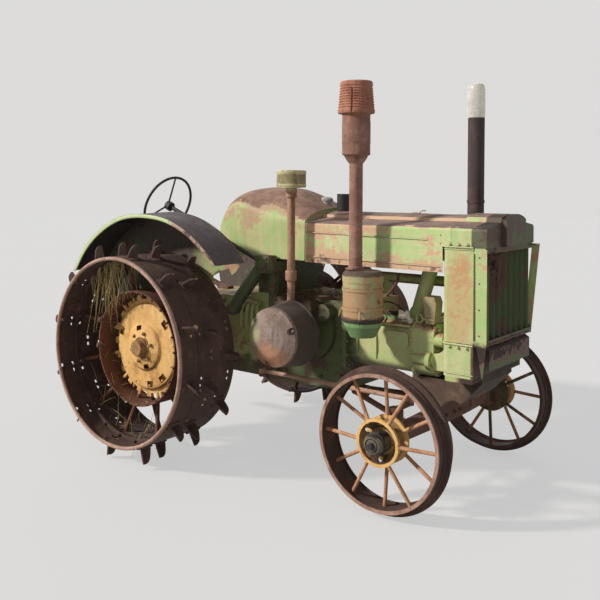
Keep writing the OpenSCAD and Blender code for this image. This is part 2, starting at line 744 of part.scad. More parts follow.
module radiator_top_tank_piece() {
    slab_x(top_tank_x, tank_face_x) hood_outline(0, top_tank_low_z, hood_crest_z + 8);
    // Raised middle, carried down the front face
    w = band_half_w - 4;
    slab_x(top_tank_x, nose_reach) polygon(concat([[w, top_tank_low_z], [-w, top_tank_low_z]],
        arch(w, hood_crest_z - 22, hood_crest_z + 8, 8)));
}

module radiator_bottom_tank_piece() {
    translate([0, 0, rad_seat_z]) linear_extrude(height = bottom_tank_z - rad_seat_z) core_plan();
    // Neck that sweeps back to the lower pipe's flange
    slab_y(pipe_y, block_half_w + 8) polygon([[head_front_x + seat, lower_pipe_z - 48],
        [core_x + 30, lower_pipe_z - 48],
        [core_x + 30, bottom_tank_z - 14], [core_x - 8, lower_pipe_z + 92], [core_x - 30, lower_pipe_z + 62],
        [core_x - 52, lower_pipe_z + 48], [head_front_x + seat, lower_pipe_z + 42]]);
}

module shutter_piece() {
    x0 = core_front_x;
    pitch = 2 * shutter_half_w / slat_count;
    top = top_tank_low_z - seat;
    side = rad_half_w - 2;
    for (z = [bottom_tank_z, top - shutter_bar]) translate([x0, -side, z])
        cube([slat_w + 8, 2 * side, shutter_bar]);
    for (i = [0 : slat_count - 1])
        translate([x0 + slat_w / 2 + 6, -shutter_half_w + pitch * (i + 0.5), bottom_tank_z])
        rotate([0, 0, slat_turn]) translate([-slat_w / 2, -2, 0]) cube([slat_w, 4, top - bottom_tank_z]);
    // Side strip on the right, drawn out to a point below
    slab_y(side - 4, side) polygon([[x0 + 9, top - 6], [x0 + 73, top - 6], [x0 + 74, bottom_tank_z + 19],
        [x0 + 55, bottom_tank_z - 163],
        [x0 + 49, bottom_tank_z - 163], [x0 + 14, bottom_tank_z + 19]]);
    // Side strip on the left, bent away at the top and held by one link
    translate([x0 + 20, side - 6, bottom_tank_z]) rotate([-6, 3, 0]) cube([44, 5, top - bottom_tank_z - 6]);
    translate([x0 + 12, side - 20, top - 14]) cube([80, 72, 6]);
    // Bent plate that hangs from the foot bar
    slab_y(-255, 281) polygon([[x0 + 30, bottom_tank_z], [x0 + 34, bottom_tank_z + 6],
        [x0 + 77, bottom_tank_z - 20],
        [x0 + 77, bottom_tank_z - 126], [x0 + 73, bottom_tank_z - 126], [x0 + 73, bottom_tank_z - 24]]);
}

// Stacks

module air_cleaner_piece() {
    translate([cleaner_x, -cleaner_y, 0]) {
        rotate_extrude() polygon([[0, cleaner_low_z], [72, cleaner_low_z], [104, cleaner_low_z + 62],
            [cleaner_r, cleaner_low_z + 92],
            [cleaner_r + 8, cleaner_low_z + 98], [cleaner_r + 8, cleaner_low_z + 112],
            [cleaner_r, cleaner_low_z + 116],
            [cleaner_r, cleaner_top_z - 60], [cleaner_r + 3, cleaner_top_z - 60],
            [cleaner_r + 3, cleaner_top_z - 22],
            [cleaner_r, cleaner_top_z - 14], [cleaner_r - 12, cleaner_top_z], [0, cleaner_top_z]]);
        // Bracket to the engine
        translate([-40, cleaner_r - 12, cleaner_low_z + 140]) cube([80, cleaner_y - cleaner_r - 150, 60]);
    }
    translate([cleaner_x - 40, -150, block_top_z]) cube([80, 40, cleaner_low_z + 200 - block_top_z]);
    translate([cleaner_x - 40, -190, cleaner_low_z + 140]) cube([80, 60, 60]);
}

module intake_stack_piece() {
    translate([stack_x, -stack_y, 0]) rotate_extrude() polygon([[0, cleaner_top_z],
        [stack_r + 6, cleaner_top_z],
        [stack_r + 6, cleaner_top_z + 20], [stack_r, cleaner_top_z + 24], [stack_r, cap_top_z - 460],
        [stack_r + 6, cap_top_z - 456], [68, cap_top_z - 418], [80, cap_top_z - 410], [80, cap_top_z - 184],
        [101, cap_top_z - 182], [104, cap_top_z - 174], [92, cap_top_z - 10], [86, cap_top_z - 3],
        [0, cap_top_z]]);
}

module exhaust_stack_piece() {
    open = exhaust_top_z - 120;
    low = port_at[2] + 70;
    translate(exhaust_at) rotate_extrude() polygon([[0, low], [exhaust_r, low], [exhaust_r, exhaust_top_z],
        [exhaust_r - 4, exhaust_top_z], [exhaust_r - 4, open], [0, open]]);
    rod(exhaust_at + [0, 0, low + 20], port_at - [0, 0, 10], exhaust_r - 2);
    translate([port_at[0], port_at[1], head_top_z + seat])
        cylinder(r = exhaust_r + 8, h = port_at[2] + 10 - head_top_z - seat);
}

module rain_cover_piece() {
    foot = exhaust_top_z + seat;
    translate(exhaust_at) rotate_extrude() polygon([[0, foot], [exhaust_r + 1, foot],
        [exhaust_r + 3, foot + 20],
        [exhaust_r + 3, foot + 180], [exhaust_r - 7, foot + 205], [0, foot + 210]]);
}

module breather_piece() {
    difference() {
        translate(breather_at) rotate_extrude() polygon([[0, crank_z], [breather_r, crank_z],
            [breather_r, 1632],
            [34, 1634], [34, 1690], [88, 1692], [88, 1795], [0, 1800]]);
        translate([crank_x, 0, crank_z]) bar_y(crank_boss_r + seat, case_half_w, pulley_in_y);
    }
}

module fan_shaft_tube_piece() {
    difference() {
        rod([case_front_x - 10, 0, fan_z], [tube_end_x, 0, fan_z], 30);
        rod([tube_end_x - 80, 0, fan_z], [tube_end_x + 1, 0, fan_z], fan_shaft_r + fit);
    }
    translate([case_front_x - 110, -60, case_top_z + seat]) cube([110, 120, fan_z + 30 - case_top_z]);
    for (x = [1250, 1500]) translate([x, -25, block_top_z + seat]) cube([30, 50, fan_z - block_top_z]);
}

module fan_piece() {
    translate([tube_end_x + run, 0, fan_z]) {
        rotate([0, 90, 0]) cylinder(r = 52, h = 32);
        rotate([0, -90, 0]) cylinder(r = fan_shaft_r, h = run + 60);
        for (a = [45 : 90 : 359]) rotate([a, 0, 0]) translate([17, 0, 0]) rotate([0, 0, 24])
            translate([-2, -50, 30]) cube([4, 100, fan_r - 30]);
    }
}

// Fenders, platform, seat and drawbar

// Ring between two radii, from one angle to another
module ring_sector(r0, r1, from, to) {
    far = 2 * r1;
    intersection() {
        difference() {
            circle(r = r1, $fn = 144);
            circle(r = r0, $fn = 144);
        }
        polygon(concat([[0, 0]], [for (a = [from : (to - from) / 4 : to]) far * [cos(a), sin(a)]]));
    }
}

module fender() {
    y0 = fender_in_y;
    lip = 18;
    back = fender_r * cos(fender_to);
    foot = platform_z - fender_z - 10;
    difference() {
        translate([0, 0, fender_z]) union() {
            // Curved top with a turned lip on its outer edge
            slab_y(y0, fender_out_y) ring_sector(fender_r - sheet_t, fender_r, fender_from, fender_to);
            slab_y(fender_out_y - sheet_t, fender_out_y)
                ring_sector(fender_r - lip, fender_r - 1, fender_from, fender_to);
            // Inner side plate with a torn front corner, down to the axle housing
            slab_y(y0, y0 + sheet_t) intersection() {
                circle(r = fender_r - 1, $fn = 144);
                polygon([[fender_r * cos(fender_from), 500], [660, 900], [back, 900], [back, 260],
                    [-650, foot], [-200, foot],
                    [-140, -150], [140, -150], [200, 60], [300, 300], [363, 430], [449, 469], [491, 484],
                    [516, 443],
                    [549, 464], [581, 503]]);
            }
        }
        translate([0, 0, axle_z]) bar_y(housing_r + seat, y0 - 10, y0 + 20);
    }
}

module platform_piece() {
    w = fender_in_y - seat;
    back = case_ring_r + seat;
    translate([-660, -w, platform_z]) cube([660 - back, 2 * w, 6]);
    // Two beams along the sides of the case
    for (y = [-case_half_w - seat - 40, case_half_w + seat]) translate([-640, y, platform_z - 60])
        cube([640 - 175, 40, 60]);
}

module seat_piece() {
    // Sprung bar from the case, and a dished pan
    slab_y(-30, 30) polygon([[-140, case_rear_z + seat], [-40, case_rear_z + seat], [-40, case_rear_z + 18],
        [-150, case_rear_z + 32],
        [-420, case_rear_z + 123], [-560, case_rear_z + 133], [-560, case_rear_z + 118],
        [-424, case_rear_z + 109],
        [-152, case_rear_z + 16]]);
    translate([-520, 0, case_rear_z + 129]) difference() {
        dish();
        translate([0, 0, 8]) dish();
    }
}

module dish() {
    intersection() {
        translate([0, 0, 330]) sphere(r = 330);
        translate([-200, -220, -10]) cube([400, 440, 100]);
    }
}

// The drawbar passes below the case, and a bracket holds it further forward
module drawbar_piece() {
    eye_x = 35 - drawbar_reach;
    top = drawbar_z + drawbar_t;
    difference() {
        union() {
            translate([eye_x, -35, drawbar_z]) cube([drawbar_reach + 265, 70, drawbar_t]);
            translate([eye_x, 0, drawbar_z]) cylinder(r = 35, h = drawbar_t);
        }
        translate([eye_x, 0, drawbar_z - 1]) cylinder(r = drawbar_hole_r, h = drawbar_t + 2);
    }
    translate([170, -60, top]) cube([130, 120, case_low_z - top]);
}

module flywheel_piece() {
    translate([crank_x, 0, crank_z]) mirror([0, 1, 0]) {
        y0 = flywheel_in_y;
        turned([[0, y0], [120, y0], [130, y0 + 20], [flywheel_r - 60, y0 + 30], [flywheel_r - 50, y0],
            [flywheel_r, y0],
            [flywheel_r, y0 + flywheel_w], [flywheel_r - 40, y0 + flywheel_w], [flywheel_r - 50, y0 + 50],
            [80, y0 + 60],
            [70, y0 + flywheel_w], [0, y0 + flywheel_w]]);
        bar_y(crank_r, case_half_w - 60, y0 + 2);
    }
}

module belt_pulley_piece() {
    translate([crank_x, 0, crank_z]) {
        difference() {
            turned([[0, pulley_in_y], [pulley_r, pulley_in_y], [pulley_r, pulley_in_y + 10],
                [pulley_r - 8, pulley_in_y + 16],
                [pulley_r - 10, pulley_in_y + 70], [pulley_face_r, pulley_out_y],
                [pulley_face_r - 8, pulley_out_y + 4],
                [150, pulley_out_y + 12], [110, pulley_out_y + 36], [60, pulley_out_y + 50],
                [0, pulley_out_y + 54]]);
            // Three notches in the cover's edge, for its bolts
            for (a = [pulley_notch : 120 : pulley_notch + 359]) rotate([0, -a, 0])
                translate([pulley_face_r - 14, 0, 0])
                bar_y(22, pulley_out_y - 18, pulley_out_y + 60);
        }
        bar_y(crank_r, case_half_w - 60, pulley_in_y + 2);
    }
}

// The sub-parts, each in its colour and its place

module main_case() { color("darkolivegreen") place() main_case_piece(); }
module axle_housings() { color("darkolivegreen") place() axle_housings_piece(); }
module cylinder_block() { color("yellowgreen") place() cylinder_block_piece(); }
module cylinder_head() { color("yellowgreen") place() cylinder_head_piece(); }
module front_bolster() { color("olivedrab") place() front_bolster_piece(); }
module tank_support() { color("darkgreen") place() tank_support_piece(); }
module hood() { color("darkseagreen") place() hood_piece(); }
module fuel_tank() { color("darkseagreen") place() fuel_tank_piece(); }
module fuel_cap() { color("silver") place() fuel_cap_piece(); }
module filler_cup() { color("dimgray") place() filler_cup_piece(); }
module radiator_core() { color("darkseagreen") place() radiator_core_piece(); }
module radiator_top_tank() { color("darkseagreen") place() radiator_top_tank_piece(); }
module radiator_bottom_tank() { color("darkseagreen") place() radiator_bottom_tank_piece(); }
module shutter() { color("sienna") place() shutter_piece(); }
module air_cleaner() { color("peru") place() air_cleaner_piece(); }
module intake_stack() { color("rosybrown") place() intake_stack_piece(); }
module exhaust_stack() { color("saddlebrown") place() exhaust_stack_piece(); }
module rain_cover() { color("whitesmoke") place() rain_cover_piece(); }
module breather() { color("rosybrown") place() breather_piece(); }
module fan_shaft_tube() { color("darkgreen") place() fan_shaft_tube_piece(); }
module fan() { color("darkgreen") place() fan_piece(); }
module fender_right() { color("mediumseagreen") place() fender(); }
module fender_left() { color("mediumseagreen") place() mirror([0, 1, 0]) fender(); }
module platform() { color("saddlebrown") place() platform_piece(); }
module seat() { color("saddlebrown") place() seat_piece(); }
module drawbar() { color("saddlebrown") place() drawbar_piece(); }
module steering_column() { color("darkgreen") place() steering_column_piece(); }
module steering_wheel() { color("dimgray") place() steering_wheel_piece(); }
module pitman_arm() { color("saddlebrown") place() pitman(); }
module drag_link() { color("rosybrown") place() drag_link_piece(); }
module front_axle() { color("saddlebrown") place() front_axle_piece(); }
module knuckle_right() { color("saddlebrown") place() union() { knuckle(-1); drag_arm(); } }
module knuckle_left() { color("saddlebrown") place() knuckle(1); }
module track_rod() { color("saddlebrown") place() track_rod_piece(); }
module front_rim_right() { color("rosybrown") place() front_wheel(-1) front_rim(); }
module front_rim_left() { color("rosybrown") place() front_wheel(1) front_rim(); }
module front_hub_right() { color("gold") place() front_wheel(-1) front_hub(); }
module front_hub_left() { color("gold") place() front_wheel(1) front_hub(); }
module rear_rim_right() { color("rosybrown") place() rear_wheel(-1) rear_rim(); }
module rear_rim_left() { color("rosybrown") place() rear_wheel(1) rear_rim(); }
module rear_spider_right() { color("orange") place() rear_wheel(-1) rear_spider(); }
module rear_spider_left() { color("orange") place() rear_wheel(1) rear_spider(); }
module rear_cover_right() { color("gold") place() rear_wheel(-1) rear_cover(); }
module rear_cover_left() { color("gold") place() rear_wheel(1) rear_cover(); }
module flywheel() { color("saddlebrown") place() flywheel_piece(); }
module belt_pulley() { color("sienna") place() belt_pulley_piece(); }
module intake_elbow() { color("tan") place() intake_elbow_piece(); }

main_case();
axle_housings();
cylinder_block();
cylinder_head();
front_bolster();
tank_support();
hood();
fuel_tank();
fuel_cap();
filler_cup();
radiator_core();
radiator_top_tank();
radiator_bottom_tank();
shutter();
air_cleaner();
intake_stack();
exhaust_stack();
rain_cover();
breather();
fan_shaft_tube();
fan();
fender_right();
fender_left();
platform();
seat();
drawbar();
steering_column();
steering_wheel();
pitman_arm();
drag_link();
front_axle();
knuckle_right();
knuckle_left();
track_rod();
front_rim_right();
front_rim_left();
front_hub_right();
front_hub_left();
rear_rim_right();
rear_rim_left();
rear_spider_right();
rear_spider_left();
rear_cover_right();
rear_cover_left();
flywheel();
belt_pulley();
intake_elbow();
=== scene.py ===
"""Looks for the two-cylinder farm tractor on steel wheels.

Lengths are metres. Every function below counts X from the rear axle, Y to the driver's left and
Z up, and piece() moves the finished mesh to the shared frame, whose X = 0 is halfway along the
tractor. Paired pieces are described on the right side, and both_sides() mirrors them.
"""
import json

import bmesh
import bpy
import numpy as np
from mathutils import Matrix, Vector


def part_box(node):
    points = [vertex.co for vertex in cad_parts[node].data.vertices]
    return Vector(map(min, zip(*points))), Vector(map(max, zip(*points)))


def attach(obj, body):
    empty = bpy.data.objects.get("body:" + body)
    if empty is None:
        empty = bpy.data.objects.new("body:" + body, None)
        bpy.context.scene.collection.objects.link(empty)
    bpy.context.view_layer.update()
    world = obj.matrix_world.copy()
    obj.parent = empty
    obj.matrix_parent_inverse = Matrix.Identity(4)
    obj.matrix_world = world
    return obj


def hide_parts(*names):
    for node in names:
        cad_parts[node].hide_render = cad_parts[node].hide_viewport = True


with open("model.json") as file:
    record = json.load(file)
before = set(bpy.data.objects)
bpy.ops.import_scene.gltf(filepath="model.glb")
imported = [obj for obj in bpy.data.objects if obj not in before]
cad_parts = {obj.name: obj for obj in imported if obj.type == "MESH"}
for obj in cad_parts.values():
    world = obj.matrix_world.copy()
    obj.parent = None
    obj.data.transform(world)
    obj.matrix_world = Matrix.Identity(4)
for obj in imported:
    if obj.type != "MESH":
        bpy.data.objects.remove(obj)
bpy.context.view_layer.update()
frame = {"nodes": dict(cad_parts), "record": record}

NODES = frame["nodes"]
REAR_AXLE_X = (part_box("rear_rim_right")[0].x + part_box("rear_rim_right")[1].x) / 2
TAU = 2 * np.pi
AHEAD, LEFT, RIGHT, UP = (1, 0, 0), (0, 1, 0), (0, -1, 0), (0, 0, 1)

# Axles and upright pipes; the coordinate along each is 0
AXLE_Z = 0.6862
REAR_AXLE = (0, 0, AXLE_Z)
FRONT_X, FRONT_MID_Y, FRONT_Z = 1.645, 0.667, 0.3876
FRONT_AXLE = (FRONT_X, 0, FRONT_Z)
PULLEY = np.array((0.866, 0, 0.819))
BREATHER = (0.824, -0.400, 0)
CLEANER = np.array((1.362, -0.432, 0))
INTAKE = (1.312, -0.432, 0)
EXHAUST = (1.655, 0.372, 0)
SHARP, BEVELLED = np.radians(34), np.radians(40)


# Colour and node helpers

def tone(code):
    """Linear colour of an sRGB hex code."""
    c = np.array([int(code[i : i + 2], 16) for i in (0, 2, 4)]) / 255
    c = np.where(c <= 0.04045, c / 12.92, ((c + 0.055) / 1.055) ** 2.4)
    return (*c.tolist(), 1.0)


class Wires:
    """Adds nodes to a tree and joins them: wire(kind, settings, Socket_name=value or output
    socket), where i3 is the input at place 3."""

    def __init__(self, tree):
        self.tree = tree

    def __call__(self, kind, settings=None, **inputs):
        node = self.tree.nodes.new(kind)
        for key, value in (settings or {}).items():
            setattr(node, key, value)
        self.feed(node, **inputs)
        return node

    def feed(self, node, **inputs):
        for key, value in inputs.items():
            placed = key[0] == "i" and key[1:].isdigit()
            socket = node.inputs[int(key[1:]) if placed else key.replace("_", " ")]
            if isinstance(value, bpy.types.NodeSocket):
                self.tree.links.new(value, socket)
            else:
                socket.default_value = value

    def math(self, operation, a, b=0.0):
        return self("ShaderNodeMath", {"operation": operation}, i0=a, i1=b).outputs[0]

    def add(self, a, b):
        return self.math("ADD", a, b)

    def less(self, a, b):
        return self.math("SUBTRACT", a, b)

    def times(self, a, b):
        return self.math("MULTIPLY", a, b)

    def swing(self, noise, amount):
        """A noise's distance from its middle, times an amount."""
        return self.times(self.less(noise, 0.5), amount)

    def vectors(self, operation, output=0, **inputs):
        return self("ShaderNodeVectorMath", {"operation": operation}, **inputs).outputs[output]

    def part(self, vector, place):
        return self("ShaderNodeSeparateXYZ", None, i0=vector).outputs[place]

    def up(self):
        """How far the surface faces up: the z of its own normal."""
        return self.part(self("ShaderNodeTexCoord").outputs["Normal"], 2)

    def seen(self):
        """1 for the rays that show a backdrop to the eye: camera, glossy and transmission rays."""
        path = self("ShaderNodeLightPath").outputs
        shown = self.math("MAXIMUM", path["Is Camera Ray"], path["Is Glossy Ray"])
        return self.math("MAXIMUM", shown, path["Is Transmission Ray"])

    def mix(self, factor, a, b, kind="MIX"):
        return self(
            "ShaderNodeMix", {"data_type": "RGBA", "blend_type": kind}, i0=factor, i6=a,
            i7=b).outputs[2]

    def blend(self, factor, a, b):
        return self("ShaderNodeMix", {"data_type": "FLOAT"}, i0=factor, i2=a, i3=b).outputs[0]

    def step(self, value, low, high, to_low=0.0, to_high=1.0):
        return self(
            "ShaderNodeMapRange", {"interpolation_type": "SMOOTHSTEP"}, i0=value, i1=low, i2=high,
            i3=to_low, i4=to_high).outputs[0]

    def noise(self, vector, scale, detail=5.0, rough=0.6, twist=0.0):
        return self(
            "ShaderNodeTexNoise", None, Vector=vector, Scale=scale, Detail=detail, Roughness=rough,
            Distortion=twist).outputs[0]

    def stretch(self, vector, scale):
        return self.vectors("MULTIPLY", i0=vector, i1=scale)


def group(name, inputs, outputs):
    """A node group with (kind, name, default) inputs: its tree, wires, named inputs and output."""
    tree = bpy.data.node_groups.new(name, "ShaderNodeTree")
    for kind, label, default in inputs:
        socket = tree.interface.new_socket(label, in_out="INPUT", socket_type=kind)
        if default is not None:
            socket.default_value = default
    for kind, label in outputs:
        tree.interface.new_socket(label, in_out="OUTPUT", socket_type=kind)
    wire = Wires(tree)
    source = wire("NodeGroupInput")
    return tree, wire, {s.name: s for s in source.outputs}, wire("NodeGroupOutput")


COLOR, VALUE, VECTOR = "NodeSocketColor", "NodeSocketFloat", "NodeSocketVector"


def weathered_paint():
    """Old paint over iron. Broad patches, fine flakes, rain streaks and bare upper faces are summed
    and cut at two levels, so that a rim of primer shows between the paint and the rust; the faces
    that look down are darkened with painted shade."""
    tree, wire, given, out = group(
        "Weathered paint",
        [(VECTOR, "Vector", None), (COLOR, "Paint", None), (COLOR, "Faded", None),
         (COLOR, "Primer", None), (COLOR, "Rust", None), (COLOR, "Deep rust", None),
         (VALUE, "Wear", 0.5), (VALUE, "Primer width", 0.12), (VALUE, "Streaks", 0.3),
         (VALUE, "Bare tops", 0.5), (VALUE, "Size", 1.0), (VALUE, "Patch", 0.0),
         (VECTOR, "Run scale", (20, 20, 2))],
        [(COLOR, "Color"), (VALUE, "Roughness"), (VALUE, "Height")])
    vector = wire.vectors("SCALE", i0=given["Vector"], Scale=given["Size"])
    broad = wire.noise(vector, 2.6, 6.0, 0.62, 0.5)
    flakes = wire.noise(vector, 22.0, 6.0, 0.68)
    runs = wire.noise(wire.stretch(vector, given["Run scale"]), 1.0, 5.0, 0.65, 0.4)
    cloud = wire.noise(vector, 4.5, 6.0, 0.6)
    grain = wire.noise(vector, 120.0, 4.0, 0.7)
    up = wire.up()
    tops = wire.times(wire.step(up, 0.35, 0.9), given["Bare tops"])
    total = wire.add(wire.swing(broad, 1.5), wire.swing(flakes, 0.75))
    total = wire.add(total, wire.swing(runs, given["Streaks"]))
    total = wire.add(wire.add(total, tops), wire.add(given["Wear"], given["Patch"]))
    bare = 0.72
    rust = wire.step(total, bare, 0.86)
    lower = wire.less(bare, given["Primer width"])
    primer = wire.step(total, lower, wire.add(lower, 0.1))
    fade = wire.add(wire.times(runs, 0.5), wire.times(cloud, 0.5))
    paint = wire.mix(wire.step(fade, 0.38, 0.62), given["Paint"], given["Faded"])
    paint = wire.mix(wire.step(flakes, 0.42, 0.75, 0.0, 0.35), paint, given["Primer"])
    iron = wire.mix(
        wire.step(wire.noise(vector, 9.0, 8.0, 0.7), 0.35, 0.68), given["Deep rust"], given["Rust"])
    shade = wire.mix(rust, wire.mix(primer, paint, given["Primer"]), iron)
    shade = wire.mix(
        wire.step(grain, 0.3, 0.75, 0.0, 0.3), shade,
        wire.mix(1.0, shade, (0.55, 0.5, 0.46, 1), "MULTIPLY"))
    # Faces that look down are mixed towards near black: painted shade
    shade = wire.mix(wire.step(up, -0.2, -0.7, 0.0, 0.7), shade, (0.03, 0.024, 0.02, 1))
    height = wire.add(wire.times(primer, -0.5), wire.times(grain, wire.step(rust, 0, 1, 0.35, 1.0)))
    wire.feed(out, Color=shade, Roughness=wire.step(rust, 0.0, 1.0, 0.64, 0.9), Height=height)
    return tree


def rusted_iron():
    """Bare rusted iron: three browns mixed by two noises, with pits and darker runs."""
    tree, wire, given, out = group(
        "Rusted iron",
        [(VECTOR, "Vector", None), (COLOR, "Brown", None), (COLOR, "Light", None),
         (COLOR, "Dark", None), (VALUE, "Size", 1.0), (VALUE, "Light share", 0.5)],
        [(COLOR, "Color"), (VALUE, "Roughness"), (VALUE, "Height")])
    vector = wire.vectors("SCALE", i0=given["Vector"], Scale=given["Size"])
    cloud = wire.noise(vector, 7.0, 7.0, 0.68, 0.3)
    pits = wire.noise(vector, 70.0, 5.0, 0.72)
    runs = wire.noise(wire.stretch(vector, (28.0, 28.0, 3.0)), 1.0, 4.0, 0.6)
    share = wire.less(1.0, given["Light share"])
    light = wire.step(
        wire.add(cloud, wire.swing(pits, 0.5)), wire.less(share, 0.14), wire.add(share, 0.14))
    shade = wire.mix(light, given["Brown"], given["Light"])
    shade = wire.mix(wire.step(runs, 0.52, 0.75, 0.0, 0.6), shade, given["Dark"])
    shade = wire.mix(wire.step(pits, 0.38, 0.3, 0.0, 0.7), shade, given["Dark"])
    wire.feed(
        out, Color=shade, Roughness=wire.step(pits, 0.3, 0.7, 0.78, 0.95),
        Height=wire.add(pits, wire.times(cloud, 0.5)))
    return tree


def near_place():
    """A soft mask, 1 at the centre and 0 beyond the radii, with a ragged edge from noise."""
    tree, wire, given, out = group(
        "Near a place",
        [(VECTOR, "Vector", None), (VECTOR, "Centre", (0, 0, 0)), (VECTOR, "Radii", (1, 1, 1)),
         (VALUE, "Ragged", 0.9)],
        [(VALUE, "Mask")])
    apart = wire.vectors("SUBTRACT", i0=given["Vector"], i1=given["Centre"])
    far = wire.vectors("LENGTH", "Value", i0=wire.vectors("DIVIDE", i0=apart, i1=given["Radii"]))
    torn = wire.swing(wire.noise(given["Vector"], 9.0, 6.0, 0.65), given["Ragged"])
    wire.feed(out, Mask=wire.step(wire.add(far, torn), 1.1, 0.4))
    return tree


PAINT_GROUP, RUST_GROUP, PLACE_GROUP = weathered_paint(), rusted_iron(), near_place()


def new_material(name):
    material = bpy.data.materials.new(name)
    material.use_nodes = True
    material.node_tree.nodes.clear()
    wire = Wires(material.node_tree)
    return material, wire, wire("ShaderNodeTexCoord").outputs["Object"]


def surface(wire, color, roughness, height, depth=0.0012, strength=0.6, **constants):
    bump = wire("ShaderNodeBump", None, Strength=strength, Distance=depth, Height=height).outputs[0]
    shader = wire(
        "ShaderNodeBsdfPrincipled", None, Base_Color=color, Roughness=roughness, Normal=bump,
        **constants)
    wire("ShaderNodeOutputMaterial", None, Surface=shader.outputs[0])


def grouped(wire, tree, **inputs):
    """A coat's colour, roughness and height from its shared group."""
    coat = wire("ShaderNodeGroup", {"node_tree": tree}, **inputs).outputs
    return coat["Color"], coat["Roughness"], coat["Height"]


def tones(labels, codes):
    return dict(zip(labels.split(), map(tone, codes.split())))


def spot(centre, radii, strength=1.0):
    """The mask of a ragged patch, of the given strength at its centre."""
    shifted = (centre[0] + REAR_AXLE_X, centre[1], centre[2])

    def mask(wire, vector):
        near = wire(
            "ShaderNodeGroup", {"node_tree": PLACE_GROUP}, Vector=vector, Centre=shifted,
            Radii=radii)
        return wire.times(near.outputs[0], strength)
    return mask


def paint_coat(
        codes, wear, primer_width=0.12, streaks=0.3, tops=0.5, size=1.0, runs=(20, 20, 2),
        patches=()):
    """Weathered paint; codes are its paint, faded, primer, rust and deep rust colours, and patches
    are (centre, radii, strength) places that are worn more or less."""
    def lay(wire, vector):
        extra = 0.0
        for patch in patches:
            mask = spot(*patch)(wire, vector)
            extra = mask if extra == 0.0 else wire.add(extra, mask)
        return grouped(
            wire, PAINT_GROUP, Vector=vector, **tones("Paint Faded Primer Rust Deep_rust", codes),
            Wear=wear, Primer_width=primer_width, Streaks=streaks, Bare_tops=tops, Size=size,
            Patch=extra, Run_scale=runs)
    return lay


def rust_coat(codes, size=1.0, share=0.5):
    """Bare rust; codes are its brown, light and dark colours."""
    def lay(wire, vector):
        return grouped(
            wire, RUST_GROUP, Vector=vector, **tones("Brown Light Dark", codes), Size=size,
            Light_share=share)
    return lay


def ragged_step(wire, vector, place, ragged, low, high):
    torn = wire.swing(wire.noise(vector, 16.0, 5.0, 0.65), ragged)
    return wire.step(wire.add(place, torn), low, high)


def along(axis, low, high, ragged=0.0):
    """Rises from 0 to 1 between two places on X, Y or Z, or on Y's distance from the middle ("W"),
    with a ragged edge."""
    shift = REAR_AXLE_X if axis == "X" else 0.0

    def mask(wire, vector):
        place = wire.part(vector, "XYZ".index(axis.replace("W", "Y")))
        place = wire.math("ABSOLUTE", place) if axis == "W" else place
        return ragged_step(wire, vector, place, ragged, low + shift, high + shift)
    return mask


def about(x, z, low, high, ragged=0.0):
    """Rises from 0 to 1 with the distance from an axle at (x, z), with a ragged edge."""
    def mask(wire, vector):
        apart = wire.vectors("SUBTRACT", i0=vector, i1=(x + REAR_AXLE_X, 0, z))
        far = wire.vectors("LENGTH", "Value", i0=wire.stretch(apart, (1, 0, 1)))
        return ragged_step(wire, vector, far, ragged, low, high)
    return mask


def both(first, second):
    return lambda wire, vector: wire.times(first(wire, vector), second(wire, vector))


def facing_down(wire, _):
    return wire.step(wire.up(), -0.1, -0.4)


def finish(name, coat, *others, depth=0.0012):
    """One coat all over, then others as (coat, mask)."""
    material, wire, vector = new_material(name)
    color, roughness, height = coat(wire, vector)
    for other, mask in others:
        share = mask(wire, vector)
        over_color, over_roughness, over_height = other(wire, vector)
        color = wire.mix(share, color, over_color)
        roughness = wire.blend(share, roughness, over_roughness)
        height = wire.blend(share, height, over_height)
    surface(wire, color, roughness, height, depth)
    return material


CAST = paint_coat("b0c67e c9c892 bd9a74 8a6650 43322a", 0.36, 0.2, 0.3, 0.3, 1.4)
SHEET = paint_coat("aacb80 ccd09b cfab88 957a6c 6d5a52", 0.38, 0.24, 0.4, 0.5)
YELLOW = paint_coat("e6b068 efc47c c9985a 95683f 4f372b", 0.43, 0.18, 0.3, 0.0, 1.6)
BROWN_RUST = rust_coat("6a4c40 93705d 33251f", 1.2, 0.4)
DARK_RUST = rust_coat("4c3831 6b5248 2a1e1a", 1.2, 0.4)
PINK_RUST = rust_coat("93705f b6917f 5c4238", 1.5, 0.5)

